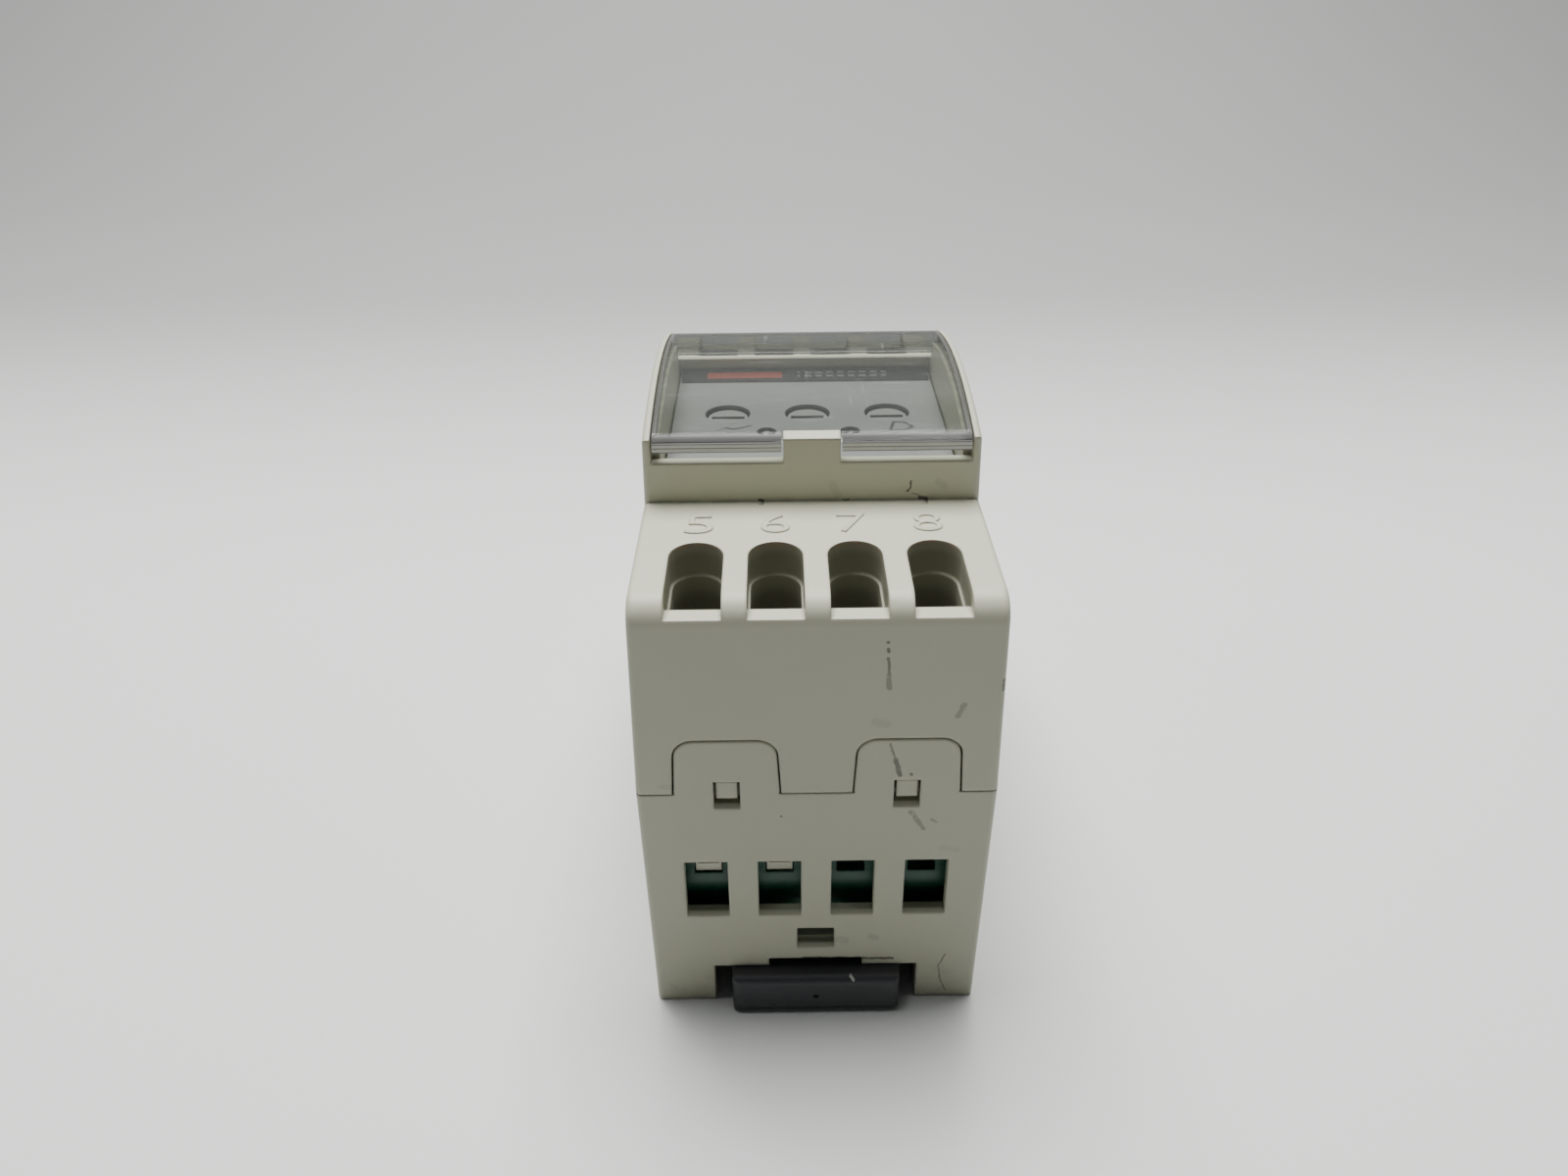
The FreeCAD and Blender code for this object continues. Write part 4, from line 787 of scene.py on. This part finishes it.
class RELAY_OT_inside(Builder, bpy.types.Operator):
    """Circuit boards, transformer, relay and the small parts inside"""

    bl_idname = "relay.inside"
    bl_label = "Inside"

    def make(self, scene):
        settings = scene.relay_inner
        self.laminate(settings)
        self.winding(settings)
        self.core()
        self.banded()
        plain = (
            ("bobbin_plastic", (0.022, 0.022, 0.024), 0.42, ("transformer_bobbin", "relay_base")),
            ("header_plastic", (0.018, 0.018, 0.018), 0.38, ("board_headers",)),
            ("chip_plastic", (0.016, 0.016, 0.018), 0.55, ("controller_chip",)),
            ("capacitor_sleeve", (0.014, 0.016, 0.035), 0.22, ("capacitors",)),
            ("disc_coating", (0.05, 0.12, 0.36), 0.40, ("suppressor_discs",)),
        )
        for name, shade, rough, nodes in plain:
            self.moulded(name, shade, rough, nodes)

    def moulded(self, name, shade, rough, nodes):
        """A small moulded or dipped part with a fine grain."""
        finish = Finish(name)
        cloud = finish.noise(1.5 * MM, 3.0)
        finish.set(Base_Color=finish.tone(shade, 0.75 + 0.5 * cloud), Roughness=rough + 0.15 * cloud)
        finish.bump(finish.noise(0.15 * MM, 2.0), 0.008 * MM, finish.rounded(0.2 * MM))
        dress(finish.material, *nodes)

    def laminate(self, settings):
        """Solder mask over copper tracks, which show as a slightly lighter raised pattern."""
        finish = Finish("board_laminate", **{"Specular IOR Level": 0.55})
        cells = finish.value("TexVoronoi", {"feature": "DISTANCE_TO_EDGE"},
                             {"Vector": finish.at, "Scale": 1 / (3.2 * MM), "Randomness": 0.35})
        track = cells.fade(0.16, 0.12)
        weave = finish.value("TexWave", {"bands_direction": "DIAGONAL"},
                             {"Vector": finish.at, "Scale": 420.0, "Distortion": 0.6})
        shade = finish.mix(track * 0.55, settings.laminate, (0.05, 0.20, 0.10))
        finish.set(Base_Color=finish.tone(shade, 0.92 + 0.12 * weave), Roughness=0.30 + 0.08 * weave)
        finish.bump(track + 0.15 * weave, 0.03 * MM)
        dress(finish.material, *[name for name in NODES if name.endswith("_board")])

    def winding(self, settings):
        """Tape over turns of wire, with the turns showing through as fine ridges."""
        finish = Finish("coil_wire", **{"Specular IOR Level": 0.5})
        turns = finish.value("TexWave", {"bands_direction": "Z"}, {"Vector": finish.at, "Scale": 900.0,
                                                                   "Distortion": 0.4})
        cloud = finish.noise(3 * MM, 3.0)
        finish.set(Base_Color=finish.tone(settings.winding, 0.7 + 0.35 * turns + 0.2 * cloud),
                   Roughness=0.25 + 0.2 * cloud)
        finish.bump(turns, 0.05 * MM)
        dress(finish.material, "transformer_coil")

    def core(self):
        """Stacked steel sheets with a varnish film."""
        finish = Finish("core_steel", **{"Metallic": 0.85})
        sheets = finish.value("TexWave", {"bands_direction": "Y"}, {"Vector": finish.at, "Scale": 620.0,
                                                                    "Distortion": 0.2})
        rust = finish.noise(2.2 * MM, 5.0, 0.7).fade(0.60, 0.78)
        steel = finish.tone((0.25, 0.25, 0.26), 0.7 + 0.5 * sheets)
        shade = finish.mix(rust * 0.5, steel, (0.20, 0.10, 0.05))
        finish.set(Base_Color=shade, Roughness=0.38 + 0.3 * rust)
        finish.bump(sheets, 0.04 * MM)
        dress(finish.material, "transformer_core")

    def banded(self):
        """Resistors in a tan coat with coloured rings round them."""
        finish = Finish("resistor_coating", **{"Specular IOR Level": 0.5})
        along = finish.value("TexWave", {"bands_direction": "Y", "wave_profile": "SAW"},
                             {"Vector": finish.at, "Scale": 90.0})
        ramp = finish.node("ValToRGB", {"stops": (
            (0.0, (0.42, 0.30, 0.16, 1.0)), (0.2, (0.25, 0.08, 0.03, 1.0)), (0.4, (0.42, 0.30, 0.16, 1.0)),
            (0.6, (0.02, 0.02, 0.02, 1.0)), (0.8, (0.42, 0.30, 0.16, 1.0)))}, {0: along})
        ramp.color_ramp.interpolation = "CONSTANT"
        finish.set(Base_Color=ramp.outputs[0], Roughness=0.3 + 0.1 * along)
        finish.bump(finish.noise(0.3 * MM, 2.0), 0.01 * MM)
        dress(finish.material, "resistors")


# The paper, the lamp and the camera, in metres and degrees.
PAPER_WIDTH, PAPER_DEPTH, PAPER_MIDDLE, PAPER_RISE, PAPER_BEND = 3.2, 2.0, -0.42, 1.6, 0.26
LAMP_PLACE, LAMP_TARGET, LAMP_SIZE = Vector((-0.03, 0.17, 0.66)), Vector((0.0, 0.05, 0.0)), 0.42
CAMERA_PLACE, CAMERA_ANGLES = (-0.00344, -0.124951, 0.108363), (0.2432, 31.4655, -0.5687)


class RELAY_OT_stage(Builder, bpy.types.Operator):
    """A pale floor that curves up into a backdrop, soft light from above, and the camera"""

    bl_idname = "relay.stage"
    bl_label = "Stage"

    def make(self, scene):
        settings = scene.relay_stage
        self.sweep(settings)
        self.lights(scene, settings)
        self.camera(scene)

    def sweep(self, settings):
        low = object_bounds()[0]
        deselect()
        bpy.ops.mesh.primitive_plane_add(size=1.0, location=(0, 0, 0))
        floor = bpy.context.object
        floor.name = "studio_sweep"
        floor.scale = (PAPER_WIDTH, PAPER_DEPTH, 1.0)
        floor.location = (0.0, PAPER_MIDDLE, low[2] - 0.02 * MM)
        bpy.ops.object.transform_apply(location=True, rotation=True, scale=True)
        bpy.ops.object.mode_set(mode="EDIT")
        bpy.ops.mesh.select_all(action="DESELECT")
        bpy.ops.object.mode_set(mode="OBJECT")
        back = max(vertex.co.y for vertex in floor.data.vertices)
        for edge in floor.data.edges:
            edge.select = all(floor.data.vertices[i].co.y > back - 1e-4 for i in edge.vertices)
        bpy.ops.object.mode_set(mode="EDIT")
        bpy.ops.mesh.select_mode(type="EDGE")
        bpy.ops.mesh.extrude_region_move(TRANSFORM_OT_translate={"value": (0, 0, PAPER_RISE)})
        bpy.ops.object.mode_set(mode="OBJECT")
        bend = floor.modifiers.new("bend", "BEVEL")
        bend.width, bend.segments, bend.limit_method = PAPER_BEND, 24, "ANGLE"
        bpy.ops.object.modifier_apply(modifier=bend.name)
        bpy.ops.object.shade_smooth_by_angle(angle=math.radians(40))
        finish = Finish("studio_paper", **{"Specular IOR Level": 0.1})
        fibre = finish.noise(1.2 * MM, 3.0)
        # painted shade: the paper is painted darker as it runs back; it also returns only part of the
        # bounced light
        away = 1.0 - 0.52 * finish.y.fade(0.04, 0.24)
        away = away * (1.0 - settings.soak * finish.value("LightPath", output=2))
        cloud = 0.985 + 0.03 * finish.noise(90 * MM, 2.0)
        finish.set(Base_Color=finish.tone(settings.floor, away * cloud), Roughness=0.75 + 0.1 * fibre)
        floor.data.materials.append(finish.material)
        floor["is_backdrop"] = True

    def lights(self, scene, settings):
        world = bpy.data.worlds.new("soft_air")
        world.use_nodes = True
        air = world.node_tree.nodes["Background"]
        air.inputs["Color"].default_value = (*settings.air, 1.0)
        air.inputs["Strength"].default_value = settings.fill
        scene.world = world
        light = bpy.data.lights.new("overhead", "AREA")
        light.shape, light.size, light.energy = "SQUARE", LAMP_SIZE, settings.overhead
        lamp = bpy.data.objects.new("overhead", light)
        scene.collection.objects.link(lamp)
        lamp.location = LAMP_PLACE
        lamp.rotation_euler = (LAMP_TARGET - LAMP_PLACE).to_track_quat("-Z", "Y").to_euler()

    def camera(self, scene):
        eye = bpy.data.cameras.new("camera")
        eye.lens, eye.sensor_width, eye.clip_start = 27.0, 36.0, 0.005
        seat = bpy.data.objects.new("camera", eye)
        scene.collection.objects.link(seat)
        yaw, pitch, roll = map(math.radians, CAMERA_ANGLES)
        ahead = Vector((math.sin(yaw) * math.cos(pitch), math.cos(yaw) * math.cos(pitch), -math.sin(pitch)))
        side = Vector((math.cos(yaw), -math.sin(yaw), 0.0))
        top = side.cross(ahead)
        across = side * math.cos(roll) + top * math.sin(roll)
        upward = top * math.cos(roll) - side * math.sin(roll)
        turn = Matrix((across, upward, -ahead)).transposed().to_4x4()
        seat.matrix_world = Matrix.Translation(CAMERA_PLACE) @ turn
        scene.camera = seat


OPERATORS = (
    RELAY_OT_housing,
    RELAY_OT_numerals,
    RELAY_OT_cover,
    RELAY_OT_face,
    RELAY_OT_terminals,
    RELAY_OT_clip,
    RELAY_OT_inside,
    RELAY_OT_stage,
)


class RELAY_PT_panel(bpy.types.Panel):
    """The relay's pieces, in the order in which they are made"""

    bl_idname = "RELAY_PT_panel"
    bl_label = "Rail relay"
    bl_space_type = "VIEW_3D"
    bl_region_type = "UI"
    bl_category = "Rail relay"

    def draw(self, context):
        for operator in OPERATORS:
            self.layout.operator(operator.bl_idname)
        for name, group in SETTINGS.items():
            box = self.layout.box()
            box.label(text=group.__doc__)
            for field in group.__annotations__:
                box.prop(getattr(context.scene, name), field)


def register():
    for cls in (*SETTINGS.values(), *OPERATORS, RELAY_PT_panel):
        bpy.utils.register_class(cls)
    for name, group in SETTINGS.items():
        setattr(bpy.types.Scene, name, bpy.props.PointerProperty(type=group))


def unregister():
    for name in SETTINGS:
        delattr(bpy.types.Scene, name)
    for cls in reversed((*SETTINGS.values(), *OPERATORS, RELAY_PT_panel)):
        bpy.utils.unregister_class(cls)


def main():
    register()
    for operator in OPERATORS:
        group, name = operator.bl_idname.split(".")
        getattr(getattr(bpy.ops, group), name)()


if __name__ == "__main__":
    main()
